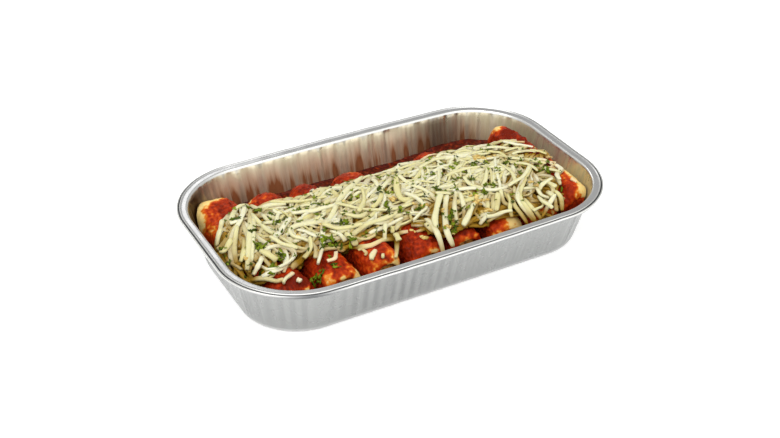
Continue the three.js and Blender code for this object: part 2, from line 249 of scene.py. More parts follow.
# The strands that lie over all the others: the width of each, and the places in plan that it passes
# over.
STRANDS_ON_TOP = (
    (5.3, (-122, 18), (-134, 7), (-146, 3)),
    (4.5, (-104, 42), (-116, 38), (-124, 27), (-129, 19)),
    (4.6, (-131, 29), (-138, 18), (-145, 7)),
    (4.1, (-110, 32), (-123, 18), (-129, 18)),
    (4.5, (-109, 37), (-121, 17), (-134, 4), (-142, -13), (-142, -29), (-139, -41)),
    (5.0, (-107, 32), (-123, -4), (-138, -34)),
    (4.5, (-107, 24), (-120, -3), (-132, -29)),
    (4.6, (-126, -1), (-132, -15), (-139, -25)),
    (4.2, (-126, 11), (-136, -6), (-141, -21)),
    (4.6, (-103, 42), (-95, 36), (-78, 30)),
    (4.5, (-135, 1), (-144, -6), (-147, -5)),
    (4.2, (-110, 22), (-107, 2), (-102, -14), (-98, -28), (-90, -35)),
    (5.5, (-86, 6), (-94, -2), (-105, -12), (-110, -17)),
    (4.6, (-60, -13), (-73, -7), (-86, -6), (-93, -10), (-93, -19), (-86, -26), (-84, -35), (-88, -43)),
    (3.4, (-87, -9), (-83, -16), (-79, -26)),
    (4.6, (-68, -14), (-77, -32), (-89, -49)),
    (4.5, (-124, -27), (-115, -23), (-106, -24), (-101, -32), (-104, -39), (-117, -45), (-126, -44),
     (-129, -34)),
    (5.3, (-123, -25), (-120, -33), (-117, -39)),
    (4.5, (-139, -42), (-132, -49), (-125, -55), (-119, -56)),
    (4.6, (-110, -52), (-118, -57), (-122, -61)),
    (4.2, (-84, -25), (-88, -35), (-96, -40)),
    (4.1, (-110, -12), (-105, -25), (-97, -32)),
    (4.2, (-125, -32), (-132, -39), (-137, -42)),
    (4.5, (-88, 38), (-68, 26), (-47, 21)),
    (4.2, (-81, 13), (-64, 6), (-40, 3)),
    (4.2, (-66, -23), (-62, -31), (-61, -38)),
    (4.6, (-111, -60), (-109, -63)),
    (5.0, (-8, 36), (-26, 23), (-41, 11), (-55, -5), (-68, -16)),
    (4.6, (-2, 30), (-4, 24), (-7, 11)),
    (5.5, (12, 17), (3, -1), (0, -14), (5, -18)),
    (4.6, (14, 17), (17, 1), (22, -14), (23, -31)),
    (4.5, (6, -6), (11, -20), (11, -32), (4, -37), (-5, -41)),
    (4.2, (27, -27), (13, -42), (1, -51)),
    (5.3, (31, -26), (18, -51), (12, -62)),
    (4.5, (21, -32), (7, -53)),
    (4.6, (1, -49), (2, -58), (8, -61)),
    (4.9, (6, -19), (-12, -26), (-28, -28), (-43, -31), (-56, -35)),
    (4.2, (-10, -33), (-26, -35), (-41, -38)),
    (4.5, (-57, -41), (-47, -50), (-32, -46), (-22, -45), (-34, -66)),
    (5.3, (-59, -33), (-56, -39), (-56, -45)),
    (2.7, (-56, -48), (-53, -49), (-52, -54), (-54, -55)),
    (4.5, (-46, -57), (-51, -61), (-53, -64)),
    (3.8, (-25, -34), (-29, -40), (-33, -47)),
    (4.5, (-48, 6), (-37, -6), (-21, -17), (-5, -24), (4, -22)),
    (4.2, (-50, -8), (-42, -18), (-31, -16)),
    (4.2, (-19, 15), (-26, -1), (-37, -13)),
    (4.1, (-6, 5), (-16, -7), (-25, -12)),
    (4.5, (-69, -16), (-57, -25), (-42, -29)),
    (3.8, (-21, -37), (-24, -43)),
    (5.8, (-45, -64), (-43, -65)),
    (3.6, (-71, -42), (-76, -50), (-82, -50)),
    (4.5, (42, -25), (31, -41), (24, -57)),
    (4.2, (44, -28), (37, -45), (29, -58)),
    (5.3, (45, -45), (34, -56), (26, -63)),
    (4.6, (74, -39), (70, -51), (74, -59)),
    (4.6, (87, -39), (79, -56), (88, -64)),
    (4.2, (76, -42), (75, -57), (84, -63)),
    (4.5, (112, -23), (93, -39), (81, -53), (81, -63)),
    (4.5, (91, -45), (104, -48), (111, -53), (109, -61), (99, -61), (89, -56)),
    (4.1, (97, -62), (106, -63), (118, -62), (116, -62)),
    (5.5, (113, -59), (111, -63)),
    (4.5, (48, -60), (60, -61), (74, -62)),
    (4.2, (135, -27), (136, -35), (126, -42), (121, -53)),
    (4.2, (114, -54), (122, -57)),
    (5.7, (70, -42), (59, -57)),
    (4.5, (111, -44), (114, -58)),
    (4.2, (41, -62), (52, -56)),
    (5.3, (93, 31), (102, 28), (106, 15)),
    (4.6, (108, 15), (120, 18), (123, 10)),
    (4.2, (120, 5), (132, 6)),
    (5.3, (128, -4), (138, -5), (136, -15)),
    (4.6, (57, 30), (66, 35), (71, 28)),
    (4.2, (74, 29), (83, 29), (87, 22)),
    (4.2, (82, -7), (70, -23), (58, -32)),
    (4.5, (40, -23), (54, -26), (68, -36), (81, -37), (93, -32)),
    (4.2, (47, -1), (66, 0), (83, -5)),
    (4.2, (94, -7), (95, -23), (89, -38)),
    (4.5, (36, 21), (52, 28), (62, 25)),
    (4.1, (58, -10), (57, -22), (61, -31)),
    (5.2, (116, -21), (103, -32), (90, -44), (83, -53), (79, -62), (80, -71), (81, -78)),
    (4.8, (84, -48), (78, -58), (77, -66), (80, -77)),
    (4.6, (76, -54), (73, -63), (75, -76)),
    (4.6, (108, -44), (112, -51), (110, -59), (103, -61), (98, -56)),
    (5.2, (88, -58), (90, -67), (92, -78)),
    (3.8, (96, -61), (101, -67), (107, -71), (111, -69), (115, -64)),
    (4.8, (83, -64), (91, -71), (99, -77)),
    (4.8, (111, -60), (111, -68), (107, -76)),
    (4.8, (106, -56), (106, -66), (101, -77)),
    (4.6, (85, -55), (83, -66), (86, -78)),
    (4.4, (77, -45), (73, -55), (68, -62), (66, -68)),
    (4.4, (100, -63), (91, -70), (82, -73)),
    (4.4, (108, -65), (98, -71), (88, -76)),
    (5.0, (97, -57), (96, -66), (97, -77)),
    (4.8, (134, -28), (134, -35), (126, -41), (123, -49)),
    (5.6, (112, -44), (112, -50), (114, -57)),
    (4.8, (82, -38), (100, -32), (114, -21)),
    (4.4, (49, -59), (59, -62), (68, -65)),
    (5.6, (33, -27), (22, -42), (11, -63), (9, -76)),
    (5.0, (4, -43), (4, -54), (2, -67), (0, -77)),
    (5.6, (30, -22), (19, -36), (9, -49), (5, -58)),
    (4.8, (100, -54), (106, -50), (118, -46)),
    (5.0, (103, -64), (99, -58), (101, -50)),
    (5.0, (-22, -44), (-23, -51)),
    (5.8, (49, -44), (43, -48), (33, -57), (25, -64)),
    (5.0, (26, -21), (37, -27)),
    (3.8, (135, -48), (136, -54)),
    (4.6, (90, 28), (99, 21), (109, 16), (118, 8)),
    (4.4, (109, 9), (120, 8), (130, 5)),
    (4.6, (112, 2), (121, 2), (130, -5)),
    (4.8, (100, 7), (107, -2), (115, -10)),
    (4.4, (127, -1), (132, -6), (136, -12)),
    (4.6, (117, -7), (123, -16), (129, -22)),
    (4.4, (96, 17), (103, 10), (104, 0)),
    (4.4, (123, -13), (131, -18), (133, -26)),
    (4.2, (106, -11), (113, -20), (115, -30)),
    (4.4, (124, -27), (126, -34), (130, -41)),
    (4.4, (116, 22), (124, 12), (132, 2)),
    (4.2, (106, 30), (117, 24), (127, 16)),
)

# How far from its middle a flake or crumb feels for what it rests on, as a share of its size, and the
# height in metres from which it does.
REST_REACH = 0.7
RAY_START = 0.2

# Spots of browned crumbs: how many crumbs each has, how far they spread and how large they are, as
# shares of the spot's reach, and where each spot lies in plan, with its reach.
CRUMBS_IN_SPOT = 3
CRUMB_SPREAD = 0.6
CRUMB_SIZES = (0.5, 1.2)
CRUMBS = (
    (18, -60, 2.1), (15, -61, 1.6), (52, -37, 2.1), (48, -46, 2.1), (54, -42, 1.8), (58, -42, 1.8),
    (-8, -45, 1.9), (-4, -8, 2.4), (-5, -57, 2.2), (54, -53, 1.9), (50, -51, 1.8), (86, 11, 2.7),
    (89, 5, 2.1), (96, 7, 1.9), (80, 9, 1.8), (6, -23, 1.8), (10, -30, 1.6), (101, -40, 1.8),
    (104, -45, 1.8), (19, -42, 1.6), (-89, -18, 1.6), (-112, -19, 1.8), (-71, -13, 1.6), (-41, 2, 1.6),
    (-136, -24, 1.6),
)

# Scattered leaf flakes: the mean and the spread of their sizes' logarithms. Clusters of larger ones:
# how many flakes each has, how far they spread and how large they are, as shares of the cluster's
# reach, and where each cluster lies in plan, with its reach.
FLAKE_SIZES = (-0.25, 0.45)
FLAKES_IN_LEAF = 4
LEAF_SPREAD = 0.5
LEAF_SIZES = (0.45, 0.95)
LEAVES = (
    (-73, -32, 4.5), (-66, -40, 4.5), (-59, -42, 3.6), (-90, -55, 4.5), (-56, 8, 3.2), (-57, 14, 2.3),
    (-74, 14, 2.8), (-78, 23, 2.3), (-68, 12, 2.3), (-146, -18, 3.2), (-122, -20, 4.9), (-121, -14, 2.8),
    (-54, -20, 3.6), (-32, 10, 3.6), (-8, 8, 3.2), (-5, 2, 3.2), (-14, -14, 3.2), (31, -13, 4.5),
    (32, -19, 3.6), (38, 8, 3.2), (26, -45, 3.6), (21, -54, 4.5), (52, -7, 3.2), (63, -4, 3.2),
    (74, 1, 3.6), (79, 5, 2.8), (84, 0, 3.6), (66, 12, 3.6), (62, -16, 3.2), (44, -21, 3.6),
    (67, -28, 4.1), (73, -31, 3.2),
    (59, -34, 3.6), (88, -14, 2.8), (100, -7, 3.2), (111, -10, 2.8), (122, -30, 4.5), (129, -23, 2.8),
    (110, -23, 2.8), (102, -24, 2.8), (-96, 6, 3.2), (-96, 20, 2.8), (-90, 8, 2.8), (-80, -1, 2.8),
    (-98, 6, 2.8), (-111, -35, 3.6), (-40, -13, 2.8), (-46, -10, 2.8), (-7, -25, 2.8), (5, -28, 3.2),
    (-78, -46, 2.8), (-78, -56, 3.6), (17, -62, 3.6), (86, -1, 2.8), (-65, 1, 2.3), (-43, 25, 2.8),
    (-44, -39, 3.2), (-19, -26, 2.3), (56, 17, 2.8), (41, 8, 2.8), (23, -51, 4.8), (-76, -29, 5.2),
    (-74, -37, 5.0), (-91, -53, 5.0), (-111, -32, 4.2), (-121, -17, 4.2), (124, -29, 4.5), (7, -29, 4.0),
)


class Roll(NamedTuple):
    """One tortilla roll: the middle of each end in plan, its width, the height of its top at each end,
    and the share of its width that its back end loses to a point."""

    back: tuple
    front: tuple
    width: float
    top_back: float
    top_front: float
    pointed: float = 0.0


ROLLS = (
    Roll((-125, 75), (-114.5, -66), 38, 40, 37),
    Roll((-85, 66), (-76.5, -67), 33, 38, 37),
    Roll((-53, 62), (-41.5, -67), 30, 38, 39),
    Roll((-12, 63), (-6.5, -69), 32, 39, 38),
    Roll((24, 52), (28, -66), 32, 34, 37),
    Roll((61.5, 60), (64.5, -69), 33, 39, 37),
    Roll((96, 51), (99, -66), 31, 36, 37),
    Roll((129, 56), (134, -63), 32, 48, 42.5, 0.75),
)


class Bare(NamedTuple):
    """A patch where the sauce is thin: the roll's number, its middle as a share of the roll's length
    and of its half width (negative to the left), its reach in the same shares, and how much sauce is
    missing."""

    roll: int
    along: float
    across: float
    reach_along: float
    reach_across: float
    missing: float


BARE_PATCHES = (
    Bare(1, 0.01, 0.15, 0.05, 0.55, 1.4),
    Bare(1, 0.035, -0.45, 0.05, 0.38, 1.5),
    Bare(1, 0.10, -0.92, 0.08, 0.26, 1.5),
    Bare(1, 0.28, -0.72, 0.08, 0.25, 0.5),
    Bare(1, 0.97, -0.20, 0.06, 1.20, -0.3),
    Bare(2, 0.02, -0.60, 0.07, 0.30, 0.4),
    Bare(2, 0.97, -0.70, 0.05, 0.26, 0.5),
    Bare(2, 0.97, 0.85, 0.07, 0.32, 0.75),
    Bare(3, 0.96, 0.55, 0.07, 0.35, 0.35),
    Bare(3, 0.99, 0.00, 0.03, 0.70, 0.1),
    Bare(4, 1.00, 0.45, 0.03, 0.50, 0.3),
    Bare(4, 0.04, 0.30, 0.08, 0.50, 0.3),
    Bare(4, 0.90, 0.00, 0.14, 1.50, -0.2),
    Bare(5, 0.92, 0.00, 0.12, 1.50, -0.2),
    Bare(6, 0.96, 0.50, 0.10, 0.60, 0.95),
    Bare(7, 0.97, -0.10, 0.05, 0.60, 0.3),
    Bare(8, 0.03, -0.10, 0.07, 0.55, 1.1),
    Bare(8, 0.16, 0.00, 0.10, 1.20, -0.3),
    Bare(8, 0.86, 0.80, 0.22, 0.60, 1.7),
    Bare(8, 1.00, 0.75, 0.06, 0.55, 1.3),
    Bare(8, 1.03, -0.50, 0.05, 0.80, -0.7),
)


def linear(colour):
    """An sRGB hex colour as linear red, green and blue."""
    shares = np.array([int(colour[i:i + 2], 16) for i in (1, 3, 5)]) / 255
    return tuple(np.where(shares <= 0.04045, shares / 12.92, ((shares + 0.055) / 1.055) ** 2.4).tolist())


def lerp(start, end, share):
    return start + (end - start) * share


def bell(distance, reach):
    """A smooth hump: 1 in the middle, about a third at one reach, and almost nothing at two."""
    return np.exp(-((distance / reach) ** 2))


def fade(value, start, length):
    """From 0 at a start to 1 a length further on, or further down if the length is negative."""
    return np.clip((value - start) / length, 0, 1)


def turns(count):
    """Turns spaced evenly round a circle, in radians."""
    return np.linspace(0, 2 * np.pi, count, endpoint=False)


def squared_circle(turn, power):
    """The two coordinates of |across|^power + |up|^power = 1 at turns round it."""
    return [np.sign(side) * np.abs(side) ** (2 / power) for side in (np.cos(turn), np.sin(turn))]


def unit(vectors):
    return vectors / np.maximum(np.linalg.norm(vectors, axis=-1, keepdims=True), TINY)


def uneven(points, length, rng, count=24):
    """A smooth random field of mean 0 and spread 1: the sum of cosines of the place along random
    directions, each with its own phase, for a typical wave length or one for each axis."""
    headings = unit(rng.normal(size=(count, points.shape[-1])))
    steps = 2 * np.pi * headings * rng.uniform(0.6, 1.6, (count, 1)) / np.asarray(length)
    phases = rng.uniform(0, 2 * np.pi, count)
    return np.cos(points @ steps.T + phases).sum(-1) * math.sqrt(2 / count)


def skin(rings):
    """Closed bodies from rings of points shaped (bodies, rings, around, columns): faces between
    neighbouring rings, and a fan from each end ring to its mean point. Columns past the third carry
    values along with the points."""
    bodies, count, around, columns = rings.shape
    ends = np.stack([rings[:, 0].mean(1), rings[:, -1].mean(1)], 1)
    points = np.concatenate([rings.reshape(bodies, -1, columns), ends], 1)
    place = np.arange(count * around).reshape(count, around)
    beside = np.roll(place, -1, axis=1)
    quads = np.stack([place[:-1], beside[:-1], beside[1:], place[1:]], -1).reshape(-1, 4)
    pole = np.full(around, count * around)
    fans = np.stack([[pole, beside[0], place[0]], [pole + 1, place[-1], beside[-1]]])
    triangles = fans.transpose(0, 2, 1).reshape(-1, 3)
    starts = np.arange(bodies)[:, None, None] * points.shape[1]
    quads, triangles = (quads + starts).reshape(-1, 4), (triangles + starts).reshape(-1, 3)
    return points.reshape(-1, columns), quads, triangles


def hoop(rings):
    """A closed body from rings shaped (rings, around, columns), the last ring joined to the first."""
    place = np.arange(rings.shape[0] * rings.shape[1]).reshape(rings.shape[:2])
    beside = np.roll(place, -1, axis=1)
    quads = np.stack([place, beside, np.roll(beside, -1, axis=0), np.roll(place, -1, axis=0)], -1)
    return rings.reshape(-1, rings.shape[2]), quads.reshape(-1, 4), np.empty((0, 3), int)


def outward(points, quads, triangles):
    """The same faces, turned round if the signed volume they enclose is negative."""
    corners = np.concatenate([quads[:, :3], quads[:, [0, 2, 3]], triangles])
    a, b, c = (points[corners[:, i], :3] for i in range(3))
    if np.einsum("ij,ij->i", a, np.cross(b, c)).sum() < 0:
        return quads[:, ::-1], triangles[:, ::-1]
    return quads, triangles


def under_ceiling(z):
    """Heights squeezed under the ceiling: the last stretch below it fills ever more slowly, as 1 -
    exp(-rise)."""
    start = CEILING - SQUEEZED_OVER
    rise = np.maximum(z - start, 0) / SQUEEZED_OVER
    return np.where(z > start, start + SQUEEZED_OVER * (1 - np.exp(-rise)), z)


def add_piece(name, surface, finish, stands_for=(), fields=()):
    """Puts a surface in millimetres into a smooth mesh, with its further columns as named vertex
    fields, on an object that rides the body, has a slot and may stand for nodes of the frame."""
    points, quads, triangles = surface
    quads, triangles = outward(points, quads, triangles)
    corners = np.concatenate([quads.ravel(), triangles.ravel()]).astype(np.int32)
    starts = np.concatenate([np.arange(len(quads)) * 4, len(quads) * 4 + np.arange(len(triangles)) * 3])
    mesh = bpy.data.meshes.new(name)
    mesh.vertices.add(len(points))
    mesh.vertices.foreach_set("co", (points[:, :3] * MM).astype(np.float32).ravel())
    mesh.loops.add(len(corners))
    mesh.loops.foreach_set("vertex_index", corners)
    mesh.polygons.add(len(starts))
    mesh.polygons.foreach_set("loop_start", starts.astype(np.int32))
    mesh.update(calc_edges=True)
    if mesh.validate():
        raise RuntimeError(f"{name} has faces that Blender had to mend")
    mesh.shade_smooth()
    for column, field in enumerate(fields, start=3):
        values = mesh.attributes.new(field, "FLOAT", "POINT").data
        values.foreach_set("value", points[:, column].astype(np.float32))
    mesh.materials.append(finish)
    piece = bpy.data.objects.new(name, mesh)
    bpy.context.scene.collection.objects.link(piece)
    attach(piece, BODY)
    if stands_for:
        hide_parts(*stands_for)


def new_finish(name):
    """A new material, its node tree, and the places on its object, from the tree's only node."""
    finish = bpy.data.materials.new(name)
    finish.use_nodes = True
    tree = finish.node_tree
    tree.nodes.clear()
    return finish, tree, add_node(tree, "TexCoord", output="Object")


def add_node(tree, kind, inputs=None, output=None, stops=None, **settings):
    """Adds a node with its settings, links or sets its inputs by their identifiers, and sets a ramp's
    stops. Returns the output with an identifier, or the first one."""
    made = tree.nodes.new("ShaderNode" + kind)
    for name, value in settings.items():
        setattr(made, name, value)
    sockets = {socket.identifier: socket for socket in made.inputs}
    for name, value in (inputs or {}).items():
        if isinstance(value, bpy.types.NodeSocket):
            tree.links.new(value, sockets[name])
        else:
            sockets[name].default_value = value
    if stops:
        elements = made.color_ramp.elements
        while len(elements) < len(stops):
            elements.new(1)
        for element, (position, colour) in zip(elements, stops):
            element.position = position
            element.color = (*colour, 1)
    outputs = {socket.identifier: socket for socket in made.outputs}
    return outputs[output] if output else next(iter(outputs.values()), None)


def mesh_field(tree, name):
    """A vertex field of the mesh."""
    return add_node(tree, "Attribute", output="Fac", attribute_name=name)


def noise(tree, place, size, detail):
    """Noise whose features are a size in millimetres."""
    return add_node(tree, "TexNoise", {"Vector": place, "Scale": 1 / (size * MM), "Detail": detail})


def maths(tree, operation, *values, **settings):
    """An operation on one to three values."""
    inputs = dict(zip(("Value", "Value_001", "Value_002"), values))
    return add_node(tree, "Math", inputs, operation=operation, **settings)


def stretched(tree, value, start, end, low=0.0, high=1.0):
    """A value taken from the span between start and end to the one between low and high."""
    return add_node(tree, "MapRange", {
        "Value": value, "From Min": start, "From Max": end, "To Min": low, "To Max": high,
    })


def mixed(tree, share, *colours):
    """The colour that is a share of the way from one to another. Each is a node's or a setting."""
    start, end = (
        colour if isinstance(colour, bpy.types.NodeSocket) else (*colour, 1) for colour in colours)
    return add_node(tree, "Mix", {
        "Factor_Float": share, "A_Color": start, "B_Color": end,
    }, "Result_Color", data_type="RGBA")


def ramp(tree, share, *stops):
    """The colour at a share of a ramp."""
    return add_node(tree, "ValToRGB", {"Fac": share}, stops=stops)


def bumps(tree, height, strength, depth):
    """Normals tilted by a height, whose full range is a depth in metres."""
    return add_node(tree, "Bump", {"Height": height, "Strength": strength, "Distance": depth})


def set_surface(tree, inputs):
    shader = add_node(tree, "BsdfPrincipled", inputs)
    add_node(tree, "OutputMaterial", {"Surface": shader})


# ----------------------------------------------------------------------------------------------------
# Tray


def outline_stations(count):
    """Places spaced evenly round the tray's mouth, anticlockwise from the right end of the back right
    corner: how far round each is, which way the wall faces there, and its signed share of the corner
    centres' place."""
    arc = MOUTH_CORNER * math.pi / 2
    straight = [2 * (half - MOUTH_CORNER) for half in MOUTH_HALF]
    lengths = np.array([arc, straight[0], arc, straight[1]] * 2)
    ends = np.cumsum(lengths)
    along = np.arange(count) / count * ends[-1]
    stretch = np.searchsorted(ends, along, side="right")
    share = (along - (ends - lengths)[stretch]) / lengths[stretch]
    quarter, is_side = stretch // 2, stretch % 2 == 1
    facing = (quarter + np.where(is_side, 1, share)) * math.pi / 2
    here, after = CORNER_SIGNS[quarter], CORNER_SIGNS[(quarter + 1) % 4]
    return along, facing, lerp(here, after, np.where(is_side, share, 0)[:, None]), ends[-1]


def wall_ring(stations, height, out):
    """Points of the tray's outline, shaped (rows, stations, 3): the rounded rectangle at a height,
    moved outwards by a distance. The corner arcs turn about their centres, and the long sides bow out
    as a parabola."""
    _, facing, signs, _ = stations
    lift = fade(height, 0, TRAY_HEIGHT)
    half_x = lerp(BASE_HALF[0], MOUTH_HALF[0], lift) + out
    half_y = lerp(BASE_HALF[1], MOUTH_HALF[1], lift) + out
    corner = lerp(BASE_CORNER, MOUTH_CORNER, lift) + out
    x = signs[:, 0] * (half_x - corner) + corner * np.cos(facing)
    y = signs[:, 1] * (half_y - corner) + corner * np.sin(facing)
    y = y + SIDE_BOW * lift * np.maximum(0, 1 - (x / half_x) ** 2) * y / half_y
    return np.stack([x, y, np.broadcast_to(height, x.shape)], -1)


def rim_top(out):
    """How far the rim's upper side lies under its highest line: a flat flange, a raised line, and the
    narrow groove where the curl begins."""
    line, groove = bell(out - LINE_OUT, 0.5), bell(out - GROOVE_OUT, 0.4)
    return FLANGE_DROP - FLANGE_DROP * line + GROOVE_DEPTH * groove


def rim_profile():
    """The rim as rows of [out, height]: under the flange, round the rolled bead, over the top to the
    mouth. The tables give distances under the highest line."""
    under = np.array([
        [0.6, 2.6], [0.85, 1.7], [1.6, 1.2], [4, 1.15], [5.9, 1.2], [6.3, 2.0], [6.8, 2.3], [7, 2.8],
    ])
    turn = np.radians(np.linspace(-110, 125, 15))
    bead = np.stack([np.cos(turn), -np.sin(turn)], -1) * BEAD_HALF + BEAD_MIDDLE
    flat = np.concatenate([np.linspace(7.08, 4.9, 19), np.linspace(4.3, 2.4, 4)])
    flange = np.stack([flat, rim_top(flat)], -1)
    mouth = np.array([[1.6, 0.56], [1.1, 0.65], [0.65, 0.85], [0.3, 1.15], [0.1, 1.6], [0.03, 2.1]])
    rows = np.concatenate([under, bead, flange, mouth])
    return rows * [1, -1] + [0, TRAY_HEIGHT]


def tray_profile():
    """The tray's whole section as rows of [out, height, wall]: from under the base over the rim to
    inside it. Wall is 1 on the outer wall, 2 on the inner one and 0 elsewhere."""
    turn = np.radians([0, 30, 60, 90])
    bend = np.stack([-BASE_BEND * (1 - np.sin(turn)), BASE_BEND * (1 - np.cos(turn))], -1)
    base = np.array([[-40, 0], [-25, 0], [-12, 0], [-6, 0]])
    outer = np.stack([np.full(11, FOIL), np.linspace(5, 44.5, 11)], -1)
    inner = np.stack([np.zeros(15), np.linspace(45.6, 6, 15)], -1)
    parts = (
        (base, 0), (bend + [FOIL, 0], 0), (outer, 1), (rim_profile(), 0),
        (inner, 2), (bend[::-1] + [0, FOIL], 0), (base[::-1] + [0, FOIL], 0),
    )
    return np.concatenate([np.column_stack([rows, np.full(len(rows), wall)]) for rows, wall in parts])


def round_waves(stations, height, shortest, longest, lean, rng, count=36):
    """A random field on the wall: cosines that run round the tray a whole number of times and lean a
    little, so that their crests stand nearly upright. Shaped (rows, stations), with mean 0 and spread
    1."""
    along, _, _, whole = stations
    times = rng.integers(int(whole / longest), int(whole / shortest), count)
    leans = rng.normal(0, lean, count)
    phases = rng.uniform(0, 2 * np.pi, count)
    cycles = along[None, :, None] * times / whole + height[:, :, None] * leans
    return np.cos(2 * np.pi * cycles + phases).sum(-1) * math.sqrt(2 / count)


def wall_relief(stations, profile, tray, rng):
    """How far creases, pleats, waves and dents push the wall outwards, in millimetres, and how much
    shade is painted on the outer wall in the pleats' hollows, both shaped (rows, stations). Pleats are
    deepest left of the front wall's middle, and a buckle stands right of the back wall's."""
    along = stations[0]
    height, wall = profile[:, 1:2], profile[:, 2:3]
    x = wall_ring(stations, np.array([[WALL_MIDDLE]]), 0.0)[0, :, 0]
    is_front = (along > FRONT_WALL[0]) & (along < FRONT_WALL[1])
    is_back = fade(along, BACK_WALL[0], BACK_WALL_FADE) * fade(along, BACK_WALL[1], -BACK_WALL_FADE)
    fine = round_waves(stations, height, *CREASES, rng)
    pleats = round_waves(stations, height, *PLEATS, rng)
    waves = round_waves(stations, height, *BROAD_WAVES, rng)
    is_corner = 1 - np.abs(np.sin(2 * stations[1])) < 0.55
    pleated = 0.1 + 0.9 * is_front * bell(x + 40, 42) + 0.3 * is_corner + 0.2 * is_back
    rise = fade(height, 3, 9) * fade(height, WALL_TOP, -14) ** 0.8
    relief = tray.crease_depth / MM * fine * lerp(0.5, 1.2, np.clip(0.5 + 0.5 * waves, 0, 1))
    relief = relief + tray.pleat_depth / MM * pleats * pleated
    relief = relief + tray.wave_depth / MM * waves * (0.3 + 0.25 * is_back)
    dent = is_back * bell(x - 48, 7) * bell(height - 43, 5) - 0.7 * is_back * bell(x - 58, 2.5)
    # Shade painted on the outer wall in the pleats' hollows.
    painted_shade = np.clip(0.5 - 0.6 * pleats, 0, 1) * pleated * rise * (wall == 1)
    return (wall > 0) * rise * (relief + dent * 0.5), painted_shade


def tray_surface(tray):
    """The foil tray: its section carried round the outline, with the relief on its walls and a slow
    wave in its flange. Further columns say how deep inside the tray a point is, where sauce has browned
    on it with the red rolls' reflection painted in, where oil has dried on it, whether it is on a wall,
    how much shade is painted on it in the rim's groove, on the bead and in the pleats' hollows, how much
    highlight is painted on the bead's top and the rim's bends, and where it is on a circle as long as the
    outline, on which patterns follow the wall."""
    rng = np.random.default_rng(tray.seed)
    stations = outline_stations(TRAY_STATIONS)
    profile = tray_profile()
    out, height, wall = profile[:, :1], profile[:, 1:2], profile[:, 2:3]
    relief, painted_shade = wall_relief(stations, profile, tray, rng)
    flange = fade(out, 0, 3) * (height > TRAY_HEIGHT - 3.5)
    sway = round_waves(stations, np.zeros((1, 1)), *FLANGE_WAVES, rng) * tray.flange_wave / MM
    points = wall_ring(stations, height + flange * (sway - sway.max()), out + relief)
    x, y = points[..., 0], points[..., 1]
    inside = (wall == 2) * fade(height, WALL_TOP, -24)
    low_wall = np.clip(4 * inside, 0, 1)
    # Sauce has browned low on the inner wall at the left end and right of the back wall's middle, and
    # the red rolls' reflection is painted there in the same dark brown. Oil has dried at the right.
    browned_and_reflection = low_wall * (1.6 * bell(x + 152, 24) + 0.7 * bell(x - 92, 26) * (y > 40))
    oiled = low_wall * fade(x, 115, 25)
    # Shade is painted on the bead under its side, and right up to its top at the front left.
    is_top = height > TRAY_HEIGHT - 2.2
    is_bead = fade(out, BEAD_EDGE, 0.3)
    bead_side = is_bead * fade(height, TRAY_HEIGHT - 1.2, -0.7)
    painted_bead_shade = is_bead * bell(x + 116, 26) * (y < -40)
    painted_foil_shade = 0.45 * painted_shade + np.maximum(0.6 * bead_side, painted_bead_shade)
    # The groove field is painted shade: pleat hollows, the bead's side and a line along the rim's groove.
    groove = np.maximum(painted_foil_shade, bell(out - 6.7, 0.5) * is_top)
    # Painted highlight: the bend field lightens the bead's top, the mouth's edge and the raised line.
    bead_top = fade(out, 7.3, 0.4) * fade(height - TRAY_HEIGHT, -1.4, 0.6)
    bend = bead_top * (1 - painted_bead_shade) + (bell(out - 0.5, 0.5) + bell(out - 5.7, 0.4)) * is_top
    turn = 2 * np.pi * stations[0] / stations[3]
    radius = stations[3] / (2 * np.pi) * MM
    fields = [np.broadcast_to(field, points.shape[:2]) for field in (
        inside, browned_and_reflection, oiled, wall > 0, groove, bend, radius * np.cos(turn), radius * np.sin(turn))]
    return skin(np.concatenate([points, np.stack(fields, -1)], -1)[None])


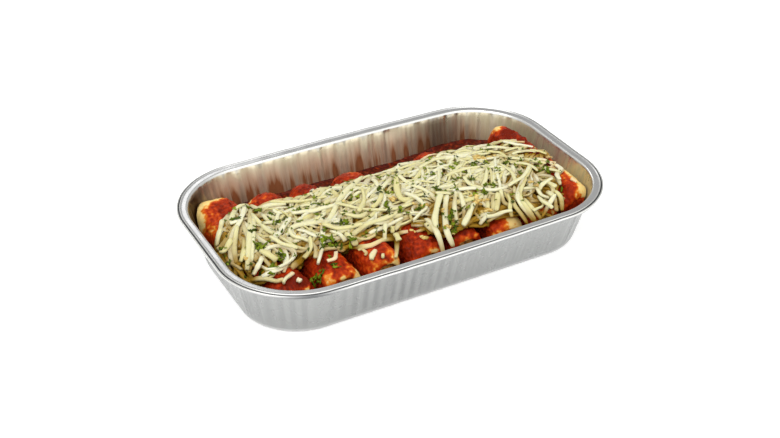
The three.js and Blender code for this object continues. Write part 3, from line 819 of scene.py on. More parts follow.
def drawn_foil(tray):
    """Drawn aluminium foil: soft upright lines where the sheet slid over the press, a fine grain, and a
    satin finish that blurs what it mirrors. Inside, a greasy film from the sauce runs down it in
    streaks; its colour, browner towards the bottom, is partly a painted reflection of the red food.
    Shade and highlights are painted along the rim, and shade in the outer wall's pleats."""
    finish, tree, place = new_finish("Drawn aluminium foil")
    is_wall = mesh_field(tree, "wall")
    # Round the wall, patterns are 20 times as tall as wide. Real press marks are finer than 1.2 mm.
    height = add_node(tree, "SeparateXYZ", {"Vector": place}, "Z")
    wall = add_node(tree, "CombineXYZ", {
        "X": mesh_field(tree, "round_x"), "Y": mesh_field(tree, "round_y"),
        "Z": maths(tree, "MULTIPLY", height, 1 / 20),
    })
    wall_lines = maths(tree, "MULTIPLY", noise(tree, wall, 1.2, 1), is_wall)
    relief = maths(tree, "MULTIPLY_ADD", noise(tree, place, 0.9, 2), 0.15, wall_lines)
    runs = stretched(tree, noise(tree, wall, 6, 3), 0.36, 0.64, 0.35, 1.3)
    film = maths(tree, "MULTIPLY", mesh_field(tree, "inside"), runs)
    oil = maths(tree, "MULTIPLY", mesh_field(tree, "oiled"), runs, use_clamp=True)
    # The film's colours, browner towards the bottom, are partly a painted reflection of the red food.
    grease_and_reflection = ramp(
        tree, film, (0.1, tray.grease_and_reflection_foil), (0.65, tray.film_and_reflection_foil), (1.0, tray.stain_and_reflection_foil))
    colour = mixed(tree, is_wall, tray.foil, tray.drawn_foil)
    colour = mixed(tree, stretched(tree, film, 0.0, 0.1), colour, grease_and_reflection)
    # Browned sauce, with the red rolls' reflection painted in the same dark brown.
    colour = mixed(tree, mesh_field(tree, "browned_and_reflection"), colour, tray.browned_and_reflection_foil)
    colour = mixed(tree, oil, colour, tray.oiled_foil)
    # Painted shade in the rim's groove, on the bead and in the outer wall's pleats.
    colour = mixed(tree, mesh_field(tree, "groove"), colour, tray.painted_shade_foil)
    # Painted highlight on the bead's top, the mouth's edge and the raised line.
    colour = mixed(tree, mesh_field(tree, "bend"), colour, tray.painted_highlight_foil)
    # The film and the oil are no metal, and the film is rougher than clean foil.
    filmed_metal = maths(tree, "MULTIPLY_ADD", film, -0.45, 1.0)
    metal = maths(tree, "MULTIPLY_ADD", oil, -0.5, filmed_metal, use_clamp=True)
    clouds = noise(tree, place, 14, 2)
    clean_rough = stretched(tree, clouds, 0.3, 0.7, tray.roughness - 0.04, tray.roughness + 0.05)
    rough = maths(tree, "MULTIPLY_ADD", film, 0.22, clean_rough)
    set_surface(tree, {
        "Base Color": colour, "Metallic": metal, "Roughness": rough,
        "Normal": bumps(tree, relief, 0.4, 0.00012),
    })
    return finish


# ----------------------------------------------------------------------------------------------------
# Rolls


def press_inside(points, clearance):
    """Moves points in from the tray's wall, so that food pressed against it takes the wall's shape: a
    point past the rounded rectangle at its height is pulled straight back towards the corner's
    centre."""
    lift = fade(points[..., 2], 0, TRAY_HEIGHT)
    corner = lerp(BASE_CORNER, MOUTH_CORNER, lift) - clearance
    half = [lerp(base, mouth, lift) - clearance for base, mouth in zip(BASE_HALF, MOUTH_HALF)]
    over_x = np.maximum(np.abs(points[..., 0]) - (half[0] - corner), 0)
    over_y = np.maximum(np.abs(points[..., 1]) - (half[1] - corner), 0)
    cut = 1 - np.minimum(1, corner / np.maximum(np.hypot(over_x, over_y), TINY))
    pressed = points.copy()
    pressed[..., 0] -= np.sign(points[..., 0]) * over_x * cut
    pressed[..., 1] -= np.sign(points[..., 1]) * over_y * cut
    return pressed


def roll_axis(roll):
    """The roll's length and its unit direction from back to front."""
    step = np.subtract(roll.front, roll.back)
    length = float(np.hypot(*step))
    return length, step / length


def along_and_across(roll, x, y):
    """The roll's length, and how far places in plan lie along it from its back end, and across it,
    where the front shows them to the right."""
    length, axis = roll_axis(roll)
    from_back = x - roll.back[0], y - roll.back[1]
    along = from_back[0] * axis[0] + from_back[1] * axis[1]
    across = from_back[1] * axis[0] - from_back[0] * axis[1]
    return length, along, across


def roll_size(along, length):
    """The share of its full section that a roll has: it draws in as a parabola towards either end, a
    little more and over a longer stretch towards its back one."""
    back = BACK_TAPER[0] * (1 - fade(along, 0, BACK_TAPER[1])) ** 2
    front = FRONT_TAPER[0] * (1 - fade(along, length, -FRONT_TAPER[1])) ** 2
    return 1 - back - front


def half_height_at(roll, along, length):
    """Half the height of the roll's section."""
    top = lerp(roll.top_back, roll.top_front, along / length)
    return (top - ROLL_FLOOR) / 2 * roll_size(along, length)


def roll_points(roll, along, turn, scale, growth=0.0):
    """Points on a roll, shaped (rows, around, 3), at distances from its back end and turns round it.
    The section is a squared circle, |across|^p + |up|^p = 1, that stays on the tray's base where it
    draws in, and it is grown outwards by a distance. A pointed roll narrows towards the top of its back
    end."""
    length, axis = roll_axis(roll)
    half_height = half_height_at(roll, along, length)
    point = roll.pointed * (1 - fade(along, 0, POINT_LENGTH))
    wide, high = squared_circle(turn, ROLL_POWER)
    half_width = roll.width / 2 * roll_size(along, length) * scale + growth
    across = half_width * wide * (1 - point * (0.5 + 0.5 * np.sin(turn)))
    x = roll.back[0] + axis[0] * along - across * axis[1]
    y = roll.back[1] + axis[1] * along + across * axis[0]
    z = ROLL_FLOOR + half_height + (half_height * scale + growth) * high
    return press_inside(np.stack([x, y, z], -1), WALL_CLEARANCE)


def roll_rows(roll):
    """The rows of a roll's wrap as distances along it and scales of its section: over the outside from
    back to front, round the front lip as a half circle, back through the bore, and round the back
    lip."""
    length, _ = roll_axis(roll)
    lip = (1 - BORE_SCALE) / 2 * roll.width / 2
    turn = np.linspace(0, np.pi, 9)[1:-1]
    outside = np.linspace(lip, length - lip, WRAP_ROWS)
    bore = np.concatenate([
        length - lip - np.linspace(0, 14, 8), [length / 2], lip + np.linspace(14, 0, 8),
    ])
    middle, half = (1 + BORE_SCALE) / 2, (1 - BORE_SCALE) / 2
    along = np.concatenate([
        outside, length - lip + lip * np.sin(turn), bore, lip - lip * np.sin(turn),
    ])
    scale = np.concatenate([
        np.ones_like(outside), middle + half * np.cos(turn),
        np.full_like(bore, BORE_SCALE), middle - half * np.cos(turn),
    ])
    return along[:, None], scale[:, None]


def sauce_coat(number, roll, along, turn, points, rng):
    """How thick the sauce lies, from 0 for bare tortilla to 1 for a thick dark coat: uneven all over,
    and thinner at the front edge and in the roll's bare patches."""
    length, _ = roll_axis(roll)
    coat = EVEN_COAT + 0.09 * uneven(points, (16, 22, 16), rng) + 0.08 * uneven(points, 5, rng)
    cut_edge = bell(length - along, CUT_EDGE_REACH) * (CUT_EDGE_BARE + 0.2 * uneven(points, 9, rng))
    coat = coat - np.clip(cut_edge, 0, 1)
    for patch in BARE_PATCHES:
        if patch.roll == number:
            far_along = (along / length - patch.along) / patch.reach_along
            far_across = (np.cos(turn) - patch.across) / patch.reach_across
            coat = coat - patch.missing * np.exp(-far_along ** 2 - far_across ** 2)
    return np.clip(coat, 0, 1)


def wrap_surface(number, roll, rolls):
    """One rolled tortilla under its sauce: its section carried along the roll, with a lumpy coat where
    the sauce is thick, and its coat as a fourth column."""
    rng = np.random.default_rng(rolls.seed + number)
    along, scale = roll_rows(roll)
    turn = turns(WRAP_AROUND)
    plain = roll_points(roll, along, turn, scale)
    coat = sauce_coat(number, roll, along, turn, plain, rng)
    folds = FOLD_DEPTH * uneven(plain, FOLD_LENGTHS, rng)
    lumps = sum(share * uneven(plain, length, rng) for share, length in COAT_LUMPS)
    lumps = lumps * (0.25 + 0.75 * coat) * rolls.coat_lumps / MM
    is_outside = (scale - BORE_SCALE) / (1 - BORE_SCALE)
    points = roll_points(roll, along, turn, scale, (folds + lumps) * is_outside - WRAP_INSET)
    return hoop(np.concatenate([points, coat[..., None]], -1))


def filling_surface(number, roll, rolls):
    """The filling of one roll: a lumpy plug just inside the wrap, a little short of both ends."""
    rng = np.random.default_rng(rolls.seed + 20 + number)
    length, _ = roll_axis(roll)
    ends = np.array([1.6, 1.9, 2.8, 4.5, 8.0, 12.0])
    along = np.concatenate([ends, [length / 2], length - ends[::-1]])[:, None]
    shrink = np.array([0.35, 0.7, 0.9, 1, 1, 1])
    scale = FILLING_SCALE * np.concatenate([shrink, [1], shrink[::-1]])[:, None]
    turn = turns(48)
    plain = roll_points(roll, along, turn, scale)
    return skin(roll_points(roll, along, turn, scale, 0.5 * uneven(plain, 5, rng))[None])


def cap_surface(roll, rolls):
    """The sauce that has run over a roll's front end: a lumpy disc that bulges out of the bore, with
    its coat, thick but for the right side, as a fourth column."""
    rng = np.random.default_rng(rolls.seed + 40)
    length, _ = roll_axis(roll)
    along = length + np.array([-4.0, -1.2, 0.0, 0.6, 0.8])[:, None]
    scale = np.array([0.7, 0.78, 0.76, 0.6, 0.3])[:, None]
    turn = turns(60)
    plain = roll_points(roll, along, turn, scale)
    points = roll_points(roll, along, turn, scale, 0.3 * uneven(plain, 5, rng))
    coat = 0.85 + 0.08 * uneven(plain, 5, rng) - 0.9 * bell(np.cos(turn) - 0.95, 0.6)
    return skin(np.concatenate([points, coat[..., None]], -1)[None])


def sauced_tortilla(rolls):
    """Flour tortilla baked under chilli sauce: pale yellow where bare, orange where the sauce is a
    film, red and grainy where it lies thick, and wet enough for small sharp highlights."""
    finish, tree, place = new_finish("Flour tortilla under chilli sauce")
    coat = mesh_field(tree, "coat")
    # Pulp in the sauce, about 2 mm across, and its grain of 0.7 mm, drawn a little coarse so that it
    # shows.
    pulp = noise(tree, place, 2.6, 4)
    grain = noise(tree, place, 0.8, 2)
    depth = maths(tree, "ADD", coat, stretched(tree, pulp, 0.25, 0.75, -0.16, 0.16))
    colour = ramp(
        tree, depth, (0.08, rolls.tortilla), (0.26, rolls.film), (0.42, rolls.thin_sauce),
        (0.62, rolls.sauce), (0.95, rolls.thick_sauce))
    relief = maths(tree, "MULTIPLY_ADD", pulp, 1.2, grain)
    set_surface(tree, {
        "Base Color": colour, "Roughness": stretched(tree, coat, 0.1, 0.5, 0.55, 0.36),
        "Normal": bumps(tree, relief, 0.55, 0.0006), "IOR": 1.4, "Specular IOR Level": 0.08,
        "Subsurface Weight": 0.12, "Subsurface Radius": (1.0, 0.35, 0.15), "Subsurface Scale": 0.002,
    })
    return finish


def shredded_filling(rolls):
    """Shredded meat and beans bound with sauce: matt olive gold with darker shreds."""
    finish, tree, place = new_finish("Shredded filling")
    shreds = noise(tree, place, 2.5, 4)
    set_surface(tree, {
        "Base Color": ramp(tree, shreds, (0.35, rolls.dark_filling), (0.62, rolls.filling)),
        "Roughness": 0.55, "Normal": bumps(tree, shreds, 0.8, 0.001),
    })
    return finish


# ----------------------------------------------------------------------------------------------------
# Sauce


def roll_heights(x, y):
    """The highest roll over each place in plan, and 0 where there is none: the section's upper half."""
    highest = np.zeros(np.broadcast(x, y).shape)
    for roll in ROLLS:
        length, along, across = along_and_across(roll, x, y)
        share = np.abs(across) / (roll.width / 2 * roll_size(along, length))
        rise = np.maximum(1 - share ** ROLL_POWER, 0) ** (1 / ROLL_POWER)
        height = ROLL_FLOOR + half_height_at(roll, along, length) * (1 + rise)
        highest = np.maximum(highest, np.where((share < 1) & (along > 0) & (along < length), height, 0))
    return highest


def roll_gap(x, y):
    """The distance in plan from each place to the nearest roll's side or end, negative inside a roll."""
    nearest = np.full(np.broadcast(x, y).shape, np.inf)
    for roll in ROLLS:
        length, along, across = along_and_across(roll, x, y)
        past_side = np.abs(across) - roll.width / 2
        past_end = np.maximum(-along, along - length)
        outside = np.hypot(np.maximum(past_side, 0), np.maximum(past_end, 0))
        nearest = np.minimum(nearest, np.where(outside > 0, outside, np.maximum(past_side, past_end)))
    return nearest


def sauce_surface(sauce):
    """The sauce pool: a closed body under a top of rings that shrink inwards. The top is the level
    along the tray, with slow swells and lumps, and it climbs a little where it meets the wall and the
    rolls."""
    rng = np.random.default_rng(sauce.seed)
    stations = outline_stations(SAUCE_STATIONS)
    rings = [wall_ring(stations, np.array([[height]]), out) for out, height in (
        (-BASE_BEND - 12, SAUCE_FLOOR), (-BASE_BEND - 0.3, SAUCE_FLOOR), (-0.3, 5.0), (-0.25, 14.0))]
    inset = np.concatenate([np.linspace(0.25, 30, 42), [33, 37, 41]])[:, None]
    top = wall_ring(stations, np.array([[19.0]]), -inset)
    x, y = top[..., 0], top[..., 1]
    level = np.interp(x, SAUCE_LEVEL_AT, SAUCE_LEVELS)
    swell = uneven(top[..., :2], 26, rng) + 0.3 * uneven(top[..., :2], 7, rng)
    gap = np.maximum(roll_gap(x, y), 0)
    climb = WALL_CLIMB[0] * np.exp(-inset / WALL_CLIMB[1])
    climb = climb + ROLL_CLIMB[0] * np.exp(-gap / ROLL_CLIMB[1])
    top[..., 2] = level + swell * sauce.swell / MM + climb
    top = press_inside(top, 0.1)
    return skin(np.concatenate([*rings, top])[None])


def chilli_sauce(sauce):
    """Cooked tomato and chilli sauce: dark and glossy, with fine pulp and orange oil at the surface."""
    finish, tree, place = new_finish("Cooked chilli sauce")
    pulp = noise(tree, place, 3, 4)
    set_surface(tree, {
        "Base Color": ramp(tree, pulp, (0.3, sauce.deep), (0.55, sauce.body), (0.72, sauce.oil)),
        "Roughness": 0.28, "Normal": bumps(tree, pulp, 0.3, 0.0006), "IOR": 1.38,
        "Specular IOR Level": 0.14,
    })
    return finish


# ----------------------------------------------------------------------------------------------------
# Cheese


def smooth_line(corners, count, closed=False):
    """A smooth line through corners: between two of them it is the cubic whose slope at each corner is
    half the step between that corner's neighbours. An open line repeats its end corners."""
    if closed:
        padded = np.concatenate([corners[-1:], corners, corners[:2]])
        place = np.arange(count) / count * len(corners)
    else:
        padded = np.concatenate([corners[:1], corners, corners[-1:], corners[-1:]])
        place = np.linspace(0, len(corners) - 1, count)
    start, t = place.astype(int), (place % 1)[:, None]
    before, here, after, further = (padded[start + step] for step in range(4))
    return 0.5 * (
        2 * here + (after - before) * t + (2 * before - 5 * here + 4 * after - further) * t ** 2
        + (3 * here - before - 3 * after + further) * t ** 3
    )


def heap_points(share, edge, drop=0.0):
    """The cheese heap, shaped (rows, around, 3): from its outline towards its spine by a share, rising
    as a quarter circle to a crown that is higher at the right, and all lowered by a drop."""
    x = lerp(edge[:, 0], np.clip(edge[:, 0], HEAP_SPINE[0], HEAP_SPINE[1]), share)
    y = lerp(edge[:, 1], HEAP_SPINE[2], share)
    crown = lerp(HEAP_CROWN[0], HEAP_CROWN[1], x / MOUTH_HALF[0] / 2 + 0.5)
    z = lerp(HEAP_EDGE, crown, np.sqrt(share * (2 - share)))
    return np.stack([x, y, z - drop], -1)


def core_surface(cheese):
    """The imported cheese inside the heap: the heap's shape, lowered and drawn in, with stringy relief."""
    rng = np.random.default_rng(cheese.seed + 1)
    edge = smooth_line(HEAP_OUTLINE, 300, closed=True)
    share = np.linspace(*CORE_SHARES, 40)[:, None]
    top = heap_points(share, edge, cheese.loose_depth / MM)
    strings = uneven(top, (4, 11, 6), rng) + uneven(top, (11, 4, 6), rng)
    top[..., 2] += 0.5 * strings - 4 * np.exp(-(share - CORE_SHARES[0]) / 0.05)
    bottom = heap_points(np.array([[0.18]]), edge)
    bottom[..., 2] = HEAP_BOTTOM
    return skin(np.concatenate([bottom, top])[None])


def cells(x, y):
    """The rows and columns of the height map's 1 mm cells that places in plan fall in."""
    column = np.clip(np.asarray(x) + MAP_HALF[0], 0, 2 * MAP_HALF[0] - 1).astype(int)
    row = np.clip(np.asarray(y) + MAP_HALF[1], 0, 2 * MAP_HALF[1] - 1).astype(int)
    return row, column


def cell_corners():
    """X along the height map's columns and Y up its rows, at each cell's lower left corner."""
    return [np.arange(2 * half) - half for half in MAP_HALF]


def food_map():
    """The height of the rolls and the sauce over each cell."""
    x, y = (place + 0.5 for place in cell_corners())
    return np.maximum(roll_heights(x, y[:, None]), np.interp(x, SAUCE_LEVEL_AT, SAUCE_LEVELS)[None])


def heap_map(drop):
    """The heap's height over each cell, and 0 outside it: the highest of many points of its surface."""
    share = np.linspace(0, 1, 240)[:, None]
    points = heap_points(share, smooth_line(HEAP_OUTLINE, 2400, closed=True), drop)
    heights = np.zeros((2 * MAP_HALF[1], 2 * MAP_HALF[0]))
    np.maximum.at(heights, cells(points[..., 0], points[..., 1]), points[..., 2])
    return heights


def mound_map():
    """How high the hanging strands pile up on the rolls over each cell in front of the heap."""
    x, y = cell_corners()
    return sum(
        height * bell(x - middle_x, reach_x) * bell(y[:, None] - middle_y, reach_y)
        for height, middle_x, reach_x, middle_y, reach_y in MOUNDS)


def room_map(cheese):
    """The highest that strands may reach over each cell: the heap's shape, and at least a little over
    the rolls and sauce under it. Outside the heap it is nothing."""
    heap = heap_map(cheese.crown_gap / MM)
    least = food_map() + np.interp(cell_corners()[0], ROOM_AT, ROOM_OVER_FOOD)
    return np.where(heap > 0, np.maximum(heap, least), 0)


def strand_plans(count, cheese, rng):
    """The shapes of strands seen from above, shaped (count, samples, 2), about their middles and along
    +X: the heading turns steadily along a strand, with a slower waver, and a few strands curl right
    round. Some are short shreds, and the last ones are long."""
    t = np.linspace(-0.5, 0.5, STRAND_SAMPLES)
    length = cheese.strand_length / MM * rng.lognormal(0, LENGTH_SPREAD, count)
    length = np.where(rng.random(count) < SHRED_SHARE, rng.uniform(*SHRED_LENGTHS, count), length)
    length = length * np.where(np.arange(count) >= count - LONG_STRANDS, LONGER, 1)
    bend = rng.normal(0, BEND_SPREAD, count)
    bend = bend + (rng.random(count) < CURL_SHARE) * rng.choice([-CURL, CURL], count)
    waver = rng.normal(0, WAVER_SPREAD, (count, 1)) * np.sin(2 * np.pi * (t + rng.random((count, 1))))
    heading = bend[:, None] * t + waver
    step = (length / (STRAND_SAMPLES - 1))[:, None, None]
    plans = np.cumsum(np.stack([np.cos(heading), np.sin(heading)], -1) * step, 1)
    return plans - plans.mean(1, keepdims=True)


def strand_line(plan, width, thickness, sag, heights):
    """The line of a strand laid on the height map, and the places beside it that it covers. It is the
    highest of the parabolas that hang from every place it could rest on, so it bridges gaps and droops
    past its last support."""
    held = np.column_stack([plan, np.full(len(plan), STRANDS_HELD_AT)])
    path = press_inside(held, 1 + width / 2)[:, :2]
    step = np.gradient(path, axis=0)
    spacing = np.hypot(*step.T)
    beside = np.column_stack([-step[:, 1], step[:, 0]]) / np.maximum(spacing, TINY)[:, None]
    wide = path + beside * np.linspace(-0.4, 0.4, 4)[:, None, None] * width
    covered = cells(wide[..., 0], wide[..., 1])
    travel = np.cumsum(spacing)
    line = (heights[covered].mean(0) - sag * (travel[:, None] - travel) ** 2).max(1)
    for _ in range(3):
        line[1:-1] = 0.25 * line[:-2] + 0.5 * line[1:-1] + 0.25 * line[2:]
    return np.column_stack([path, line + thickness * STRAND_LIFT]), covered


def turned(plan, angle):
    cos, sin = math.cos(angle), math.sin(angle)
    return plan @ np.array([[cos, sin], [-sin, cos]])


def lay_heap(cheese, rng):
    """Lays the heap's strands one after another. Each is tried at a few places where the heap is far
    below its shape, and is laid at the first where it stays in the heap's room. The named strands go on
    last. Returns lines, widths, thicknesses and the finished height map."""
    room = room_map(cheese)
    heights = np.maximum(food_map(), heap_map(cheese.loose_depth / MM) - 1)
    spots = np.argwhere(room > 0)
    laid = []

    def lay(line, covered, width, thickness):
        pressed = line[:, 2] + thickness * STRAND_PRESS
        np.maximum.at(heights, covered, np.broadcast_to(pressed, covered[0].shape))
        laid.append((line, width, thickness))

    swirl = SWIRL * uneven(spots[:, ::-1].astype(float), SWIRL_LENGTH, rng)
    for number, plan in enumerate(strand_plans(cheese.strands, cheese, rng)):
        spare = SPARE_ROOM[0] if number < cheese.strands - LONG_STRANDS else SPARE_ROOM[1]
        drawn_width = np.clip(STRAND_WIDTH * rng.lognormal(0, WIDTH_SPREAD), *WIDTH_LIMITS)
        flatness = rng.uniform(*FLATNESS)
        places = rng.integers(len(spots), size=PLACES_DRAWN)
        short = (room - heights)[spots[places, 0], spots[places, 1]]
        for pick in places[np.argsort(-short)[:PLACES_TRIED]]:
            middle = spots[pick, ::-1] - np.array(MAP_HALF) + 0.5
            width = drawn_width * np.interp(middle[0], WIDTH_AT, WIDTH_SHARES)
            thickness = width * flatness
            leaning = math.radians(np.interp(middle[0], HEADING_AT, HEADINGS)) + swirl[pick]
            path = turned(plan, leaning + rng.normal(0, HEADING_SPREAD)) + middle
            line, covered = strand_line(path, width, thickness, cheese.sag, heights)
            over = line[:, 2] + thickness / 2 - room[covered].max(0)
            if over.max() < MOST_OVER and np.clip(over, 0, COUNTED_OVER).mean() < spare:
                lay(line, covered, width, thickness)
                break
    mounds = mound_map()
    mound_tops = np.where(mounds > LOWEST_MOUND, food_map() + mounds - MOUND_DROP, 0)
    np.maximum(heights, mound_tops, out=heights)
    for named_width, *corners in STRANDS_ON_TOP:
        path = smooth_line(np.array(corners, float), STRAND_SAMPLES)
        width = TOP_WIDTH * named_width * np.interp(path[:, 0].mean(), WIDTH_AT, WIDTH_SHARES)
        thickness = TOP_FLATNESS * width
        lay(*strand_line(path, width, thickness, cheese.sag, heights), width, thickness)
    return (*(np.array(column) for column in zip(*laid)), heights)


def hull_map(heights):
    """The heap's soft upper hull: the highest cell within a reach of each one, averaged over the same
    reach."""
    steps = range(-HULL_REACH, HULL_REACH + 1)
    for combine in (np.max, np.mean):
        for axis in (0, 1):
            heights = combine([np.roll(heights, step, axis) for step in steps], axis=0)
    return heights


def strand_surface(lines, widths, thicknesses, heights, rng):
    """Grated strands: a flattened six-sided section, cut from a squared circle, carried along each
    line, turned slowly about it and drawn in at its ends. Further columns give each strand's tone, how
    close it lies to the sauce, and how much painted shade it gets for lying deep under the heap's hull."""
    count = len(lines)
    lines = lines[:, ::STRAND_STEP]
    rows = lines.shape[1]
    t = np.linspace(-1, 1, rows)
    forward = unit(np.gradient(lines, axis=1))
    across = unit(np.cross([0, 0, 1], forward))
    up = np.cross(forward, across)
    twist = rng.normal(0, 0.3, (count, 1)) + rng.normal(0, 0.45, (count, 1)) * t
    side = across * np.cos(twist)[..., None] + up * np.sin(twist)[..., None]
    rise = up * np.cos(twist)[..., None] - across * np.sin(twist)[..., None]
    taper = 1 - rng.uniform(0.05, 0.55, (count, 1)) * np.abs(t) ** 7
    pulse = 1 + 0.12 * np.sin(t * rng.uniform(2, 7, (count, 1)) + rng.uniform(0, 6, (count, 1)))
    half_width = widths[:, None] / 2 * taper * pulse
    half_height = thicknesses[:, None] / 2 * taper
    wide, high = squared_circle(turns(STRAND_SIDES), STRAND_POWER)
    points = (
        lines[:, :, None]
        + side[:, :, None] * (half_width[..., None] * wide)[..., None]
        + rise[:, :, None] * (half_height[..., None] * high)[..., None]
    )
    points[..., 2] = under_ceiling(points[..., 2])
    tone = np.broadcast_to(rng.random((count, 1, 1)), points.shape[:3])
    beneath = cells(points[..., 0], points[..., 1])
    stain = np.exp(-np.maximum(points[..., 2] - food_map()[beneath], 0) / STAIN_REACH)
    piled = hull_map(heights)[cells(lines[..., 0], lines[..., 1])] - lines[..., 2]
    # Painted shade: strands deep under the heap's hull are darkened towards a brownish olive.
    painted_shade = np.clip((piled[..., None] - SHADE_START) / SHADE_DEPTH, 0, SHADE_MOST)
    depth = np.broadcast_to(painted_shade, points.shape[:3])
    return skin(np.concatenate([points, np.stack([tone, stain, depth], -1)], -1))


def grated_cheese(cheese):
    """Grated mild white cheese: waxy and slightly see-through at its thin edges, cream with paler and
    yellower strands, faintly streaked along the cut, stained where it touches the sauce, and with
    brownish shade painted on the strands deep in the heap."""
    finish, tree, place = new_finish("Grated white cheese")
    curd = noise(tree, place, 1.6, 3)
    mix = maths(tree, "MULTIPLY_ADD", curd, 0.5, mesh_field(tree, "tone"))
    tint = maths(tree, "MULTIPLY", mix, 0.67)
    colour = ramp(tree, tint, (0.15, cheese.pale), (0.5, cheese.cream), (0.85, cheese.yellow))
    wet = stretched(tree, mesh_field(tree, "stain"), 0.3, 1.0, 0.0, 0.6)
    colour = mixed(tree, wet, colour, cheese.stained)
    # Painted shade: the depth field darkens the strands deep in the heap.
    colour = mixed(tree, mesh_field(tree, "depth"), colour, cheese.painted_shade_cheese)
    set_surface(tree, {
        "Base Color": colour, "Roughness": 0.42, "Normal": bumps(tree, curd, 0.3, 0.0004),
        "IOR": 1.45, "Specular IOR Level": 0.1,
        "Subsurface Weight": 0.3, "Subsurface Radius": (1.0, 0.9, 0.4), "Subsurface Scale": 0.0015,
    })
    return finish


def dark_painted_core(cheese):
    """The cheese deep in the heap: softened and browned by the sauce between its shreds, and painted
    dark as the shade among the strands over it.
    """
    finish, tree, place = new_finish("Softened cheese in sauce")
    shreds = noise(tree, place, 4, 4)
    set_surface(tree, {
        "Base Color": ramp(tree, shreds, (0.35, cheese.soaked_and_painted_shade), (0.7, cheese.painted_shade_cheese)),
        "Roughness": 0.6, "Normal": bumps(tree, shreds, 0.8, 0.001), "Specular IOR Level": 0.1,
    })
    return finish


# ----------------------------------------------------------------------------------------------------
# Crumbs and herbs


def food_top():
    """A function that gives the height of the food over a place in plan, in millimetres."""
    wraps = [f"wrap_{number}" for number in range(1, len(ROLLS) + 1)]
    names = ["cheese_strands", "dark_painted_core", "sauce_pool", *wraps]
    missing = [name for name in names if name not in bpy.data.objects]
    if missing:
        raise RuntimeError(f"make {', '.join(missing)} first")
    graph = bpy.context.evaluated_depsgraph_get()
    trees = [BVHTree.FromObject(bpy.data.objects[name], graph) for name in names]

    def find(x, y):
        hits = [tree.ray_cast(Vector((x * MM, y * MM, RAY_START)), Vector((0, 0, -1))) for tree in trees]
        return max(hit[0].z for hit in hits if hit[0] is not None) / MM

    return find


def resting_planes(find_top, middles, reaches):
    """Where flakes rest: the height under the middle of each and at four places round it give the slope
    of the plane it lies on, and it lies as high as the second highest of them."""
    around = np.array([[0, 0], [1, 0], [-1, 0], [0, 1], [0, -1]])
    spots = middles[:, None] + around * reaches[:, None, None]
    held = np.full((*spots.shape[:2], 1), FLAKES_HELD_AT)
    touched = press_inside(np.concatenate([spots, held], -1), 1)
    heights = np.array([[find_top(x, y) for x, y, _ in places] for places in touched])
    slopes = np.clip((heights[:, 1::2] - heights[:, 2::2]) / (2 * reaches[:, None]), -1, 1)
    normals = np.column_stack([-slopes, np.ones(len(middles))])
    return np.column_stack([middles, np.sort(heights, 1)[:, -2]]), normals


def crumb_surface(places, sizes, rng):
    """Browned crumbs: balls flattened to half, whose radius swings with the place on them."""
    down = np.linspace(0, np.pi, 9)[1:-1, None]
    turn = turns(12)
    ball = np.stack(np.broadcast_arrays(
        np.sin(down) * np.cos(turn), np.sin(down) * np.sin(turn), np.cos(down)), -1)
    radius = sizes[:, None, None] * (1 + 0.22 * np.stack([uneven(ball, 1.6, rng) for _ in sizes]))
    points = places[:, None, None] + ball * [1, 1, 0.5] * radius[..., None]
    points[..., 2] = under_ceiling(points[..., 2])
    return skin(points)


def browned_cheese(crumbs):
    """Crumbs of cheese and filling browned in the oven: golden with tan spots, and a little oily."""
    finish, tree, place = new_finish("Browned cheese crumbs")
    spots = noise(tree, place, 2.2, 3)
    set_surface(tree, {
        "Base Color": ramp(tree, spots, (0.38, crumbs.tan), (0.6, crumbs.golden)),
        "Roughness": 0.5, "Normal": bumps(tree, spots, 0.5, 0.0005), "Specular IOR Level": 0.15,
    })
    return finish


def flake_surface(places, normals, sizes, rng):
    """Chopped leaf flakes as thin closed bodies: a ragged outline whose radius swings with the turn
    round it, filled from under to over, and crinkled."""
    count, around = len(places), 14
    turn = turns(around)
    lobes = rng.integers(2, 5, (count, 1))
    outline = 0.7 + 0.3 * np.cos(lobes * turn + rng.uniform(0, 6, (count, 1)))
    outline = outline * np.clip(1 + 0.28 * rng.normal(size=(count, around)), 0.4, 1.5)
    long = rng.uniform(0.45, 1, (count, 1))
    share = np.array([0.5, 1.0, 0.5])[None, :, None]
    thick = np.array([-0.14, 0.0, 0.14])[None, :, None]
    radius = outline[:, None] * share * sizes[:, None, None]
    u = radius * np.cos(turn)
    v = radius * np.sin(turn) * long[..., None]
    curl = rng.normal(0, 0.3, (count, 1, 1)) / np.maximum(sizes[:, None, None], 1)
    crinkle = 0.25 * radius * np.sin(3 * turn + rng.uniform(0, 6, (count, 1, 1)))
    w = curl * u ** 2 + thick + crinkle
    normals = unit(normals + rng.normal(0, 0.2, normals.shape) + [0, 0, 0.4])
    along = unit(np.cross(normals, rng.normal(size=(count, 3))))
    across = np.cross(normals, along)
    points = (
        places[:, None, None]
        + u[..., None] * along[:, None, None]
        + v[..., None] * across[:, None, None]
        + (w + 0.5)[..., None] * normals[:, None, None]
    )
    points[..., 2] = under_ceiling(points[..., 2])
    tone = np.broadcast_to(rng.random((count, 1, 1)), points.shape[:3])
    return skin(np.concatenate([points, tone[..., None]], -1))


def parsley_leaf(herbs):
    """Chopped fresh parsley: dark green with lighter undersides, and softly glossy."""
    finish, tree, place = new_finish("Chopped parsley leaf")
    veins = noise(tree, place, 1.5, 3)
    mix = maths(tree, "MULTIPLY_ADD", veins, 0.6, mesh_field(tree, "tone"))
    tint = maths(tree, "MULTIPLY", mix, 0.62)
    set_surface(tree, {
        "Base Color": ramp(tree, tint, (0.2, herbs.dark), (0.55, herbs.leaf), (0.85, herbs.pale)),
        "Roughness": 0.5, "Normal": bumps(tree, veins, 0.4, 0.0004), "Specular IOR Level": 0.12,
    })
    return finish


# ----------------------------------------------------------------------------------------------------
# Stage


